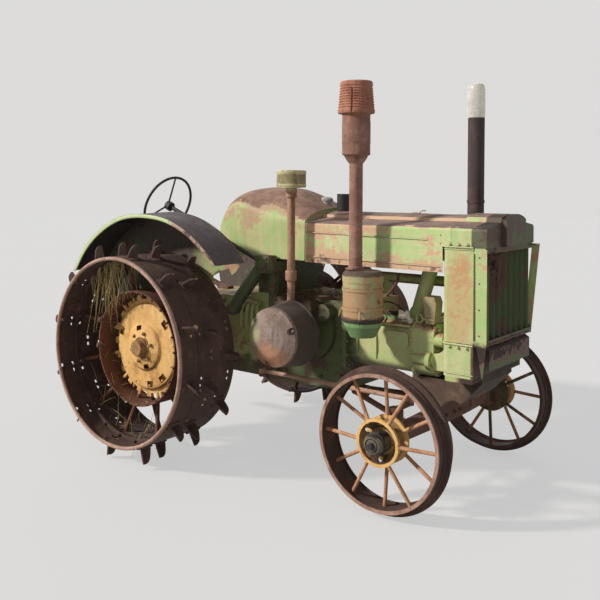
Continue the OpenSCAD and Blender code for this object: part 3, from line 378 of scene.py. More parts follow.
SLOT_MATERIALS = {
    "cast_green": finish("Cast green", CAST),
    "sheet_green": finish("Sheet green", SHEET),
    "zinc": finish("Zinc", rust_coat("a3a3a1 bdbdba 6a6864", 2.0, 0.5), depth=0.0004),
    "black_iron": finish("Black iron", paint_coat("1d1c1d 2c2a2a 3a3532 5a4136 2f2522", 0.3)),
    "rusted_stack": finish(
        "Rusted stack", rust_coat("8a6356 ad8474 4d3734", 1.0, 0.45),
        (rust_coat("9c6350 b98068 55362f", 1.3, 0.5), along("Z", 2.07, 2.12, 0.05))),
    "cleaner_rust": finish(
        "Cleaner", paint_coat("a9ab6c c9b585 c29c6c a8744a 5b3c2b", 0.58, 0.2, 0.6, 0.3, 1.3)),
    "rim_rust": finish("Rim rust", DARK_RUST),
    "wheel_yellow": finish("Wheel yellow", YELLOW),
    "spider_yellow": finish(
        "Spider yellow", YELLOW,
        (rust_coat("6b4535 8d6048 35241e", 1.6, 0.4), about(0, AXLE_Z, 0.325, 0.330, 0.01))),
    "bare_rust": finish("Bare rust", BROWN_RUST),
    "pulley_rust": finish(
        "Pulley", rust_coat("7f6a60 9f8c83 4f3f38", 1.0, 0.5),
        (paint_coat("a5ab78 b5ae86 a08a70 7c6250 4a382f", 0.4, 0.2, 0.1),
         spot((0.73, -0.64, 0.84), (0.10, 0.2, 0.10), 0.85)),
        (rust_coat("a8714e c08d6b 6b4734", 1.3, 0.5),
         spot((0.86, -0.65, 0.72), (0.15, 0.2, 0.09), 0.85)),
        (rust_coat("51453f 6b5a50 2e2622", 1.2, 0.35), along("Y", -0.614, -0.608))),
    "wheel_black": finish("Wheel black", paint_coat("211f20 2f2b2b 3a3230 54382f 2c211e", 0.4)),
}


def milky_plastic():
    """Thin cloudy bottle plastic: mostly see-through, whiter in clouds."""
    material, wire, vector = new_material("Milky plastic")
    cloud = wire.step(wire.noise(vector, 18.0, 4.0, 0.6), 0.3, 0.75, 0.25, 0.5)
    body = wire(
        "ShaderNodeBsdfPrincipled", None, Base_Color=tone("f3efe8"), Roughness=0.25, IOR=1.46)
    clear = wire("ShaderNodeBsdfTransparent", None, Color=(0.95, 0.94, 0.92, 1))
    mixed = wire("ShaderNodeMixShader", None, i0=cloud, i1=clear.outputs[0], i2=body.outputs[0])
    wire("ShaderNodeOutputMaterial", None, Surface=mixed.outputs[0])
    return material


SLOT_MATERIALS["clear_plastic"] = milky_plastic()

# Finishes for single parts that age in their own way, some of them darkened with painted shade
# A dark green paint that stands for shade: painted shade on parts that lie in shadow
PAINTED_SHADE_GREEN = paint_coat("5a6c42 6b6b4a 5e4c3d 48362c 251c18", 0.5, 0.25, 0.3, 0.3, 1.4)
OWN = {
    # The shutter's dark green is painted shade on the front; the strip on its side keeps the
    # sheet's green
    "shutter": finish(
        "Shutter",
        paint_coat(
            "4c653c 5b6243 6b5044 44332b 2b211c", 0.5, 0.2, 0.5, 0.4, 1.5,
            patches=[((2.02, 0, 0.82), (0.2, 0.6, 0.08), 0.35)]),
        (SHEET, both(along("W", 0.309, 0.312), along("Z", 0.86, 0.90, 0.1)))),
    "radiator_core": finish(
        "Radiator side", SHEET,
        (paint_coat("c3b47c cdb080 c9996b b9855d 8a5f48", 0.5, 0.3, 0.3, 0.2, 2.0),
         spot((1.895, -0.31, 1.08), (0.10, 0.1, 0.36), 0.95))),
    # The top tank's front face is painted a dark green: painted shade
    "radiator_top_tank": finish(
        "Radiator top tank", SHEET,
        (paint_coat("52613f 5f6046 584639 453429 281f19", 0.5, 0.25, 0.3, 0.3, 1.4),
         along("X", 1.950, 1.962))),
    # The bottom tank's front is dark rust: rust, made darker still as painted shade
    "radiator_bottom_tank": finish(
        "Radiator bottom tank", SHEET,
        (rust_coat("5c4740 77604f 33261f", 1.4, 0.45), along("X", 1.950, 1.962))),
    "air_cleaner": finish(
        "Cleaner body",
        paint_coat(
            "a6ad7b bfae85 b7946d a07450 563c2c", 0.52, 0.24, 0.7, 0.3, 1.3,
            patches=[((1.37, -0.54, 1.06), (0.10, 0.08, 0.09), 0.14)]),
        (rust_coat("5b4a3f 7a6452 332722", 1.5, 0.4), along("Z", 1.196, 1.21, 0.02)),
        (rust_coat("3f3632 5c4d45 251e1b", 1.5, 0.4), along("Z", 0.975, 0.968)),
        (paint_coat("7fb36c 95b87d 8a7a5c 6a4c3b 33261f", 0.34), along("Z", 0.946, 0.940))),
    "breather": finish(
        "Breather", rust_coat("956e57 b58d74 5a4034", 1.2, 0.5),
        (paint_coat("cfca92 ddd2a6 bca67e 8f7355 4c382c", 0.42, 0.2, 0.4, 0.1, 1.6),
         along("Z", 1.66, 1.68))),
    "exhaust_stack": finish("Exhaust", rust_coat("4a3b3d 6b5552 2b2224", 1.2, 0.4)),
    "drag_link": finish("Drag link", rust_coat("a07c68 c29c86 5f463b", 1.5, 0.5)),
    # The block's rear part is painted dark green: painted shadow from the cleaner and the hood
    "cylinder_block": finish("Block", CAST, (PAINTED_SHADE_GREEN, along("X", 1.25, 1.17, 0.14))),
    # Column and tank support are painted dark green all over: painted shade
    "steering_column": finish("Column", PAINTED_SHADE_GREEN),
    "tank_support": finish("Tank support", PAINTED_SHADE_GREEN),
    # The case's sides forward of the wheel and its lower part are painted dark green: painted shade
    "main_case": finish(
        "Gear housing", CAST,
        (PAINTED_SHADE_GREEN, both(along("X", 0.56, 0.68, 0.15), along("W", 0.20, 0.235))),
        (PAINTED_SHADE_GREEN, along("Z", 0.62, 0.54, 0.2))),
    # The bolster's rust is darkened as painted shade, and darker still at the front
    "front_bolster": finish(
        "Bolster", rust_coat("564338 755d4c 2c211b", 1.4, 0.45),
        (rust_coat("40342c 5b4a3f 211a16", 1.4, 0.45), along("X", 1.86, 1.91, 0.1)),
        (CAST, both(along("Z", 0.62, 0.66, 0.06), along("X", 1.90, 1.86)))),
    "intake_elbow": finish(
        "Intake elbow", paint_coat("a59a72 b8a27e a98c6e 8a6a52 4d3a2f", 0.5, 0.3)),
}
for side in ("right", "left"):
    OWN["front_rim_" + side] = finish(
        "Front rim " + side, DARK_RUST, (PINK_RUST, along("W", 0.728, 0.738)))
    OWN["front_hub_" + side] = finish(
        "Front hub " + side, YELLOW,
        (rust_coat("b07a55 cd9c78 6b4734", 1.6, 0.5), about(FRONT_X, FRONT_Z, 0.127, 0.130)),
        (paint_coat("b08f5c bfa070 94704c 6b4a36 3f2d24", 0.5, 0.2),
         about(FRONT_X, FRONT_Z, 0.109, 0.106)),
        (paint_coat("57524a 77705f 5f4c3e 46352d 241d1a", 0.4),
         both(about(FRONT_X, FRONT_Z, 0.0585, 0.0575), along("W", 0.679, 0.682))),
        # On the left hub only, the inner face is dark brown: painted shade
        (rust_coat("4a3c2e 6d5a42 2a211a", 1.5, 0.5),
         both(along("Y", 0, 0.1), along("W", 0.650, 0.625, 0.1))))

for part in frame["record"]["subparts"]:
    mesh = NODES[part["node"]].data
    mesh.materials.clear()
    mesh.materials.append(OWN.get(part["node"], SLOT_MATERIALS[part["material_slot"]]))


# Surfaces from functions

def grid(point_at, us, vs, close_u=False, close_v=False, keep=None):
    """Quads over point_at(u, v). A closed direction joins its last line to its first, and keep
    leaves cells out."""
    u, v = np.meshgrid(us, vs, indexing="ij")
    points = np.stack(np.broadcast_arrays(*point_at(u, v)), -1).reshape(-1, 3)
    n, m = len(us), len(vs)
    i, j = np.meshgrid(
        np.arange(n if close_u else n - 1), np.arange(m if close_v else m - 1), indexing="ij")
    i, j = (i.ravel(), j.ravel()) if keep is None else (i[keep], j[keep])
    k, l = (i + 1) % n, (j + 1) % m
    return points, np.stack([i * m + j, k * m + j, k * m + l, i * m + l], 1)


def pierced(point_at, us, vs, keep, close_u=False):
    """Sheet metal between point_at(u, v, 0) and point_at(u, v, 1), open where keep is false, with
    walls round every edge."""
    points, inner = grid(lambda u, v: point_at(u, v, 0.0), us, vs, close_u, keep=keep)
    more, outer = grid(lambda u, v: point_at(u, v, 1.0), us, vs, close_u, keep=keep)
    n, m, count = len(us), len(vs), len(points)
    empty = np.zeros((1, m - 1), bool)
    before, after = (np.roll(keep, 1, 0), keep) if close_u else (
        np.vstack([empty, keep]), np.vstack([keep, empty]))
    i, j = np.nonzero(before != after)
    across = np.stack([i * m + j, i * m + j + 1, count + i * m + j + 1, count + i * m + j], 1)
    side = np.pad(keep, ((0, 0), (1, 1)))
    i, j = np.nonzero(side[:, :-1] != side[:, 1:])
    k = (i + 1) % n
    along = np.stack([i * m + j, k * m + j, count + k * m + j, count + i * m + j], 1)
    return np.vstack([points, more]), np.vstack([inner, outer + count, across, along])


def frames(directions):
    """Two unit vectors across each direction, and the unit direction itself."""
    ahead = np.atleast_2d(np.asarray(directions, float))
    ahead = ahead / np.linalg.norm(ahead, axis=1, keepdims=True)
    helper = np.where(np.abs(ahead[:, 2:]) < 0.9, [[0.0, 0.0, 1.0]], [[1.0, 0.0, 0.0]])
    across = np.cross(helper, ahead)
    across = across / np.linalg.norm(across, axis=1, keepdims=True)
    return across, np.cross(ahead, across), ahead


def turned(profile, centre=(0, 0, 0), axis=RIGHT, steps=64):
    """Profile points (r, h) turned about the axis: centre + r (a cos t + b sin t) + h c."""
    a, b, c = (direction[0] for direction in frames(axis))
    r, h = np.asarray(profile, float).T
    loop = not (r[0] == 0 and r[-1] == 0)

    def point_at(t, k):
        k = k.astype(int)
        return [
            centre[i] + r[k] * (a[i] * np.cos(t) + b[i] * np.sin(t)) + h[k] * c[i]
            for i in range(3)]
    return grid(point_at, np.linspace(0, TAU, steps, endpoint=False), np.arange(len(r)), True, loop)


def curve(points, count=40):
    """Catmull-Rom curve through the points."""
    p = np.asarray(points, float)
    p = np.vstack([2 * p[0] - p[1], p, 2 * p[-1] - p[-2]])
    t = np.linspace(0, len(p) - 3 - 1e-9, count)
    i = t.astype(int)
    f = (t - i)[:, None]
    a, b, c, d = p[i], p[i + 1], p[i + 2], p[i + 3]
    return 0.5 * (
        2 * b + (c - a) * f + (2 * a - 5 * b + 4 * c - d) * f**2 + (3 * b - a - 3 * c + d) * f**3)


def tube(path, radius, sides=8, closed=False):
    """Round section along a path, p(u) + r(u) (a cos t + b sin t), with its ends drawn in to
    points."""
    path = np.asarray(path, float)
    ahead = np.roll(path, -1, 0) - np.roll(path, 1, 0) if closed else np.gradient(path, axis=0)
    radii = np.broadcast_to(np.asarray(radius, float), (len(path),)).copy()
    if not closed:
        path = np.vstack([path[:1], path, path[-1:]])
        ahead = np.vstack([ahead[:1], ahead, ahead[-1:]])
        radii = np.concatenate([[0.0], radii, [0.0]])
    flat = np.linalg.svd(path - path.mean(0))[2][-1]
    a = np.cross(ahead, flat)
    a = a / np.linalg.norm(a, axis=1, keepdims=True)
    b = np.cross(ahead / np.linalg.norm(ahead, axis=1, keepdims=True), a)

    def point_at(u, t):
        u = u.astype(int)
        return [
            path[u, i] + radii[u] * (a[u, i] * np.cos(t) + b[u, i] * np.sin(t)) for i in range(3)]
    return grid(
        point_at, np.arange(len(path)), np.linspace(0, TAU, sides, endpoint=False), closed, True)


def rod(points, count, radius):
    """A round rod bent along the smooth curve through the points."""
    return tube(curve(points, count), radius)


def band(low_r, high_r, start, end, chamfer=0.002):
    """Profile of a hoop that stands out of a pipe, for turned()."""
    return [(low_r, start), (high_r, start + chamfer), (high_r, end - chamfer), (low_r, end)]


def prism(outline, y0, y1):
    """A closed outline of (x, z) points carried from y0 to y1."""
    x, z = np.asarray(outline, float).T
    n = len(x)
    ends = [np.stack([x, np.full(n, y), z], 1) for y in (y0, y1)]
    i = np.arange(n)
    k = (i + 1) % n
    return np.vstack(ends), [np.stack([i, k, n + k, n + i], 1), i[None, ::-1], i[None] + n]


def scatter(part, places, directions, sizes=1.0):
    """A copy of the part at every place: place + size (x a + y b + z c), with c along its
    direction."""
    points, faces = part
    places = np.atleast_2d(np.asarray(places, float))
    directions = np.broadcast_to(np.asarray(directions, float), places.shape)
    basis = np.stack(frames(directions), 1)
    scale = np.broadcast_to(np.asarray(sizes, float), (len(places),))[:, None, None]
    moved = places[:, None] + scale * np.einsum("pk,nkd->npd", points, basis)
    shift = len(points) * np.arange(len(places))[:, None, None]
    return moved.reshape(-1, 3), (faces[None] + shift).reshape(-1, faces.shape[1])


def ring(centre, radius, count, start=0.0, axis=RIGHT):
    """Places on a circle about the axis."""
    a, b, _ = (direction[0] for direction in frames(axis))
    t = np.radians(start) + TAU * np.arange(count) / count
    return np.asarray(centre) + radius * (np.cos(t)[:, None] * a + np.sin(t)[:, None] * b)


def soft_edges(shown, width):
    edge = shown.modifiers.new("edge", "BEVEL")
    edge.width, edge.segments, edge.limit_method, edge.angle_limit = width, 2, "ANGLE", BEVELLED
    return edge


def piece(name, parts, slot, body="chassis", nodes=(), material=None, bevel=0.0):
    """Joins the parts in one mesh, closes its seams and poles, and moves it from the rear axle to
    the shared frame."""
    starts = np.cumsum([0] + [len(points) for points, _ in parts])
    points = np.concatenate([points for points, _ in parts]) + (REAR_AXLE_X, 0, 0)
    faces = []
    for (_, groups), start in zip(parts, starts):
        for group_faces in groups if isinstance(groups, list) else [groups]:
            faces += (group_faces + start).tolist()
    mesh = bpy.data.meshes.new(name)
    mesh.from_pydata(points.tolist(), [], faces)
    work = bmesh.new()
    work.from_mesh(mesh)
    bmesh.ops.remove_doubles(work, verts=work.verts, dist=1e-6)
    bmesh.ops.dissolve_degenerate(work, edges=work.edges, dist=1e-7)
    bmesh.ops.recalc_face_normals(work, faces=work.faces)
    work.to_mesh(mesh)
    work.free()
    mesh.polygons.foreach_set("use_smooth", np.ones(len(mesh.polygons), bool))
    mesh.set_sharp_from_angle(angle=SHARP)
    shown = bpy.data.objects.new(name, mesh)
    bpy.context.scene.collection.objects.link(shown)
    mesh.materials.append(material or SLOT_MATERIALS[slot])
    if bevel:
        soft_edges(shown, bevel).harden_normals = True
    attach(shown, body)
    if nodes:
        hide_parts(*nodes)
    return shown


def both_sides(*rows):
    """The rows' pieces on the right, then their mirror images on the left. A row is (name, parts,
    slot, wheel, node, material): wheel is None on the chassis, and the last two may be left out."""
    for side, flip in (("right", 1), ("left", -1)):
        for name, parts, slot, wheel, *rest in rows:
            node, material = (*rest, None, None)[:2]
            flipped = [(points * (1, flip, 1), faces) for points, faces in parts]
            body = f"{wheel}_{side}" if wheel else "chassis"
            piece(
                f"{name}_{side}", flipped, slot, body, [f"{node}_{side}"] if node else (), material)


def nut(radius=0.5, height=0.5):
    """A six-sided nut on a washer, with the end of its bolt, for radius 1 over the washer."""
    six = turned(
        [(0, height), (radius * 0.62, height), (radius * 0.8, height * 0.82), (radius * 0.8, 0.05),
         (0, 0.05)],
        axis=UP, steps=6)
    stem = turned(
        [(0, height * 1.35), (radius * 0.34, height * 1.3), (radius * 0.36, height * 0.9),
         (0, height * 0.9)],
        axis=UP, steps=8)
    washer = turned([(0, 0.1), (0.95 * radius, 0.1), (radius, 0.0), (0, 0.0)], axis=UP, steps=12)
    starts = np.cumsum([0, len(six[0]), len(stem[0])])
    return np.vstack([six[0], stem[0], washer[0]]), np.vstack(
        [p[1] + s for p, s in zip((six, stem, washer), starts)])


NUT = nut(1.0, 0.9)
# A round rivet head of radius 1
RIVET = turned([(0, 0.62), (0.5, 0.52), (0.85, 0.3), (1.0, 0), (0, -0.1)], axis=UP, steps=8)


# Rear wheels: pierced rims with chevron lugs

RIM_R, RIM_IN, RIM_OUT, EXT_OUT = 0.5842, 0.645, 0.950, 1.100
LUG_H, LUG_HALF, LUG_TIP, LUG_T = 0.102, 0.038, 0.025, 0.0122


def rim_sheet():
    """r = rim radius less the sheet's thickness, less a shallow wave, less the groove where the
    extension is bolted on; every other bolt hole is open."""
    steps = np.array([2.0, 2.2, 2.0, 2.2, 2.2, 2.2, 2.2])
    turn = np.radians(
        np.concatenate(
            [start + np.cumsum(steps) - steps for start in np.arange(0, 360, steps.sum())]))
    across = np.array(
        [0.646, 0.682, 0.700, 0.746, 0.764, 0.800, 0.834, 0.852, 0.906, 0.924, 0.947, 0.950, 0.953,
         0.976, 0.994, 1.020, 1.056, 1.074, 1.089])
    i, j = np.meshgrid(np.arange(len(turn)), np.arange(len(across) - 1), indexing="ij")
    hole = (i % len(steps) % 2 == 0) & (i % len(steps) < 4) & np.isin(j, [1, 3, 6, 8, 13, 16])
    hole &= (i // len(steps) + j // 2) % 2 != 0

    def point_at(t, y, w):
        groove = 0.006 * (np.abs(y - RIM_OUT) < 0.001)
        r = RIM_R - 0.009 * (1 - w) - groove - 0.001 * (1 + np.sin(7 * t + 30 * y))
        return rolled(r, t, y)
    return pierced(point_at, turn, across, ~hole, True)


def rim_rings():
    """Beads rolled at both edges, and the pair of flanges that the extension is bolted through."""
    turn = np.linspace(0, TAU, 14, endpoint=False)
    beads = [(EXT_OUT - 0.0112, 0.0110), (RIM_IN + 0.0072, 0.0070)]
    rings = [
        np.stack([RIM_R - r - 0.0002 + r * np.cos(turn), y + r * np.sin(turn)], 1)
        for y, r in beads]
    low, high = RIM_R - 0.030, RIM_R - 0.0075
    rings += [
        [(low, a + 0.002), (low + 0.002, a), (high, a), (high, b), (low + 0.002, b),
         (low, b - 0.002)]
        for a, b in ((RIM_OUT - 0.008, RIM_OUT - 0.0006), (RIM_OUT + 0.0006, RIM_OUT + 0.008))]
    return [turned(profile, REAR_AXLE, steps=120) for profile in rings]


def lug_template():
    """A chevron plate that narrows to a rounded, worn tip; x leads, y is across and z points out of
    the rim."""
    level = np.array([-0.004, 0.0, 0.03, 0.06, 0.082, 0.094, 0.100, 0.102])
    thin = np.array([0.0, 0.0, 0.0, 0.0005, 0.001, 0.0015, 0.003, 0.0045])
    narrow = 0.012 * np.clip((level - 0.06) / 0.042, 0, 1) ** 3
    half = LUG_HALF + (LUG_TIP - LUG_HALF) * np.clip(level / LUG_H, 0, 1) - narrow - thin
    nose, rows = 0.022, len(level)
    x = np.stack(
        [nose - thin, nose - half, nose - half - LUG_T + thin, nose - LUG_T + thin,
         nose - half - LUG_T + thin, nose - half],
        1)
    y = np.stack([0 * half, half, half, 0 * half, -half, -half], 1)
    points = np.stack([x, y, np.repeat(level[:, None], 6, 1)], -1).reshape(-1, 3)
    _, faces = grid(lambda u, v: (u, v, u), np.arange(rows), np.arange(6), False, True)
    last = 6 * (rows - 1)
    caps = np.array(
        [[last, last + 1, last + 2, last + 3], [last + 3, last + 4, last + 5, last], [3, 2, 1, 0],
         [0, 5, 4, 3]])
    return points, np.vstack([faces, caps])


def foot_template():
    """The lug's foot: a thin plate with rounded corners and edges."""
    x = np.array([0.03, 0.034, 0.02, -0.034, -0.046, -0.046, -0.034, 0.02, 0.034])
    y = np.array([0.0, 0.012, 0.034, 0.046, 0.036, -0.036, -0.046, -0.034, -0.012])
    n = len(x)
    points = np.vstack(
        [np.stack([x * s, y * s, np.full(n, z)], 1)
         for s, z in ((1, -0.002), (1, 0.006), (0.93, 0.0085))]
        + [[[0, 0, 0.009]], [[0, 0, -0.002]]])
    _, faces = grid(lambda u, v: (u, v, u), np.arange(3), np.arange(n), False, True)
    i = np.arange(n)
    top = np.stack([2 * n + i, 2 * n + (i + 1) % n, np.full(n, 3 * n), np.full(n, 3 * n)], 1)
    low = np.stack([(i + 1) % n, i, np.full(n, 3 * n + 1), np.full(n, 3 * n + 1)], 1)
    return points, np.vstack([faces, top, low])


def rolled(r, t, w, z=AXLE_Z):
    """On the right, round an axle at height z: (r cos t, -w, z + r sin t)."""
    return r * np.cos(t), -w, z + r * np.sin(t)


def around_rim(part, across, angle, r, lean=0.0, skew=0.0, tall=1.0):
    """Copies of a part on the rim: x leads along the circle, y is across and z points out. Each
    leans along and across by its own slope, and its height has its own scale."""
    points, faces = part
    across, angle, r, lean, skew, tall = (
        np.asarray(a, float)[:, None]
        for a in np.broadcast_arrays(across, angle, r, lean, skew, tall))
    t = np.radians(angle)
    up = points[None, :, 2] * tall
    out, lead, side = r + up, points[None, :, 0] + lean * up, points[None, :, 1] + skew * up
    moved = np.stack(
        [out * np.cos(t) + lead * np.sin(t), side - across,
         AXLE_Z + out * np.sin(t) - lead * np.cos(t)],
        -1)
    shift = len(points) * np.arange(len(t))[:, None, None]
    return moved.reshape(-1, 3), (faces[None] + shift).reshape(-1, faces.shape[1])


def lug_places():
    angle = np.arange(12) * 30.0
    rows = [(RIM_IN + 0.07625, 0.0), (RIM_IN + 0.22875, 15.0), (RIM_OUT + 0.075, 18.9)]
    across = np.concatenate([np.full(12, y) for y, _ in rows])
    return across, np.concatenate([angle + start for _, start in rows])


NUT_ON_RIM = (NUT[0] * (0.013, 0.013, -0.013), NUT[1][:, ::-1])


def rear_rim_parts():
    """The rim with its lugs, each bent and worn a little in its own way; those near the ground keep
    their height."""
    across, angle = lug_places()
    table = np.random.default_rng(8)
    lean, skew = table.normal(0, 0.07, 36), table.normal(0, 0.05, 36)
    worn = table.uniform(0.84, 1.0, 36)
    tall = np.where(np.abs((angle - 270 + 180) % 360 - 180) < 25, 1.0, worn)
    legs = [
        around_rim(NUT_ON_RIM, across + dy, angle - 2.2, RIM_R - 0.009) for dy in (-0.024, 0.024)]
    joint = ring((0, -RIM_OUT, AXLE_Z), RIM_R - 0.019, 24, 4)
    return [
        rim_sheet(), *rim_rings(),
        around_rim(lug_template(), across, angle, RIM_R, lean, skew, tall),
        around_rim(foot_template(), across, angle, RIM_R), *legs,
        scatter(NUT, joint + (0, 0.008, 0), LEFT, 0.012),
        scatter(NUT, joint - (0, 0.008, 0), RIGHT, 0.012)]


REAR_RIM = finish(
    "Rear rim", DARK_RUST, (rust_coat("a07e70 bf9c8c 664a40", 1.5, 0.5), along("W", 1.076, 1.080)))
both_sides(("rear_rim_skin", rear_rim_parts(), "rim_rust", "rear_wheel", "rear_rim", REAR_RIM))


# Distance from the middle to the cover's inner face
COVER_W = 0.8098


def cover_parts():
    """The wheel centre: a dished plate with a ridge, and slots near its edge and in its middle."""
    profile = curve(
        [(0.274, 0.0), (0.270, 0.016), (0.258, 0.025), (0.21, 0.030), (0.160, 0.032),
         (0.146, 0.041), (0.137, 0.049), (0.1, 0.058), (0.064, 0.068)],
        40)
    steps = np.array([0, 1.2, 4.2, 8, 12, 15, 18, 22, 26])
    turn = np.radians(np.concatenate([start + steps for start in np.arange(0, 360, 30)]))
    i, j = np.meshgrid(np.arange(len(turn)), np.arange(39), indexing="ij")
    outer = np.isin(i % 9, [2, 3, 4, 5]) & (j >= 10) & (j < 14) & np.isin(i // 9, [1, 5, 9, 10])
    inner = (i % 9 >= 2) & (i % 9 < 8) & (j >= 29) & (j < 33) & np.isin(i // 9, [3, 9])

    def point_at(t, k, w):
        k = k.astype(int)
        r, h = profile[k, 0], profile[k, 1] - 0.003 * (1 - w)
        h = h + 0.0015 * np.sin(3 * t + 20 * r) * (r < 0.25)
        return rolled(r, t, COVER_W + h)
    sheet = pierced(point_at, turn, np.arange(40), ~(outer | inner), True)
    back = turned([(0, 0.8103), (0.268, 0.8103), (0.268, 0.8118), (0, 0.8118)], REAR_AXLE)
    rim = ring((0, -0.8348, AXLE_Z), 0.247, 12, 8)
    return [sheet, back, scatter(RIVET, rim, RIGHT, 0.009)]


AXLE_END = finish("Axle end", rust_coat("8d6845 b58c5c 4a3628", 1.6, 0.5))


def axle_end_parts():
    boss = turned(
        [(0, 0.914), (0.02, 0.921), (0.045, 0.92), (0.05, 0.914), (0.053, 0.886), (0.058, 0.884),
         (0.060, 0.876), (0.060, 0.862), (0, 0.862)],
        REAR_AXLE, steps=40)
    lip = tube(ring((0, -0.8755, AXLE_Z), 0.070, 26, 200)[:17], 0.006, 8)
    return [boss, lip, scatter(NUT, ring((0, -0.8725, AXLE_Z), 0.090, 6, 15), RIGHT, 0.013)]


def spider_nut_parts():
    return [
        scatter(NUT, ring((0, -0.922, AXLE_Z), 0.352, 24, 3.5), RIGHT, 0.009),
        scatter(
            NUT, [[-0.318, -0.924, AXLE_Z + 0.15], [-0.34, -0.924, AXLE_Z - 0.02]], RIGHT, 0.024)]


# The drum's inward ring, from the driver's side of the wheel to the toothed flange
DRUM_SKIRT = turned(
    [(0.352, 0.735), (0.360, 0.735), (0.360, 0.8118), (0.352, 0.8118)], REAR_AXLE, steps=96)
both_sides(
    ("wheel_cover", cover_parts(), "wheel_yellow", "rear_wheel", "rear_cover"),
    ("drum_skirt", [DRUM_SKIRT], "spider_yellow", "rear_wheel"),
    ("axle_end", axle_end_parts(), "bare_rust", "rear_wheel", None, AXLE_END),
    ("spider_nuts", spider_nut_parts(), "bare_rust", "rear_wheel"))


# Front wheels: spoke heads, hub nuts and the cap's nut

def spoke_head_parts():
    heads = np.concatenate(
        [ring((FRONT_X, -FRONT_MID_Y - dy, FRONT_Z), 0.3556, 6, start)
         for dy, start in ((0.014, 0), (-0.014, 30))])
    away = (heads - FRONT_AXLE) * (1, 0, 1)
    return [scatter(RIVET, heads, away, 0.012)]


def hub_cap_parts():
    """A collar on the cap, bolts round it and the square-edged plug in its end."""
    collar = turned(band(0.0545, 0.0600, 0.736, 0.754), FRONT_AXLE, steps=40)
    plug = turned(
        [(0, 0.803), (0.015, 0.803), (0.019, 0.799), (0.019, 0.784), (0, 0.784)], FRONT_AXLE,
        steps=6)
    ridge = turned([(0.030, 0.7835), (0.034, 0.7875), (0.038, 0.7835)], FRONT_AXLE, steps=32)
    around = ring((FRONT_X, -0.745, FRONT_Z), 0.0595, 6, 12)
    return [collar, plug, ridge, scatter(NUT, around, (around - FRONT_AXLE) * (1, 0, 1), 0.011)]


both_sides(
    ("spoke_heads", spoke_head_parts(), "bare_rust", "front_wheel"),
    ("hub_cap", hub_cap_parts(), "black_iron", "front_wheel"))


# Hood, tank and fenders: thin sheet with dents

def dents(seed, count, across, along, size, depth):
    """Sum of soft hollows, each d exp(-((u-a)/p)^2 - ((v-b)/q)^2) deep, with centres and sizes from
    a seeded table."""
    table = np.random.default_rng(seed)
    a, b = table.uniform(*across, count), table.uniform(*along, count)
    p, q = table.uniform(*size, count), table.uniform(*size, count)
    d = table.uniform(0.2, 1.0, count) * depth

    def at(u, v):
        return (d * np.exp(-((u[..., None] - a) / p) ** 2 - ((v[..., None] - b) / q) ** 2)).sum(-1)
    return at


HOOD_HALF, HOOD_LOW, TANK_FRONT, TOP_TANK_X = 0.314, 1.238, 0.860, 1.840
# Where the hood's side is cut away over the radiator
NOTCH_X, NOTCH_Z = 1.7897, 1.379


def hood_section(spacing=0.012):
    """Round the hood from its right lower edge to the left one: the length so far, the points
    (y, z) and their outward normals (ny, nz)."""
    t = np.linspace(-1, 1, 9)
    band = np.stack([0.128 * t, 1.526 + 0.018 * (1 - t**2)], 1)
    half = np.array(
        [[HOOD_HALF, HOOD_LOW], [HOOD_HALF, NOTCH_Z], [HOOD_HALF, 1.466], [0.3125, 1.474],
         [0.3086, 1.4795], [0.303, 1.4824], [0.296, 1.484], [0.14, 1.508], [0.128, 1.526]])
    corners = np.vstack([half[:-1] * (-1, 1), band, half[-2::-1]])
    length = np.concatenate([[0], np.cumsum(np.hypot(*np.diff(corners, axis=0).T))])
    between = [
        np.linspace(a, b, max(2, int((b - a) / spacing) + 1)) for a, b in zip(length, length[1:])]
    s = np.unique(np.concatenate([length, *between]).round(6))
    y, z = np.interp(s, length, corners[:, 0]), np.interp(s, length, corners[:, 1])
    dy, dz = np.gradient(y, s), np.gradient(z, s)
    size = np.hypot(dy, dz)
    return s, y, z, -dz / size, dy / size


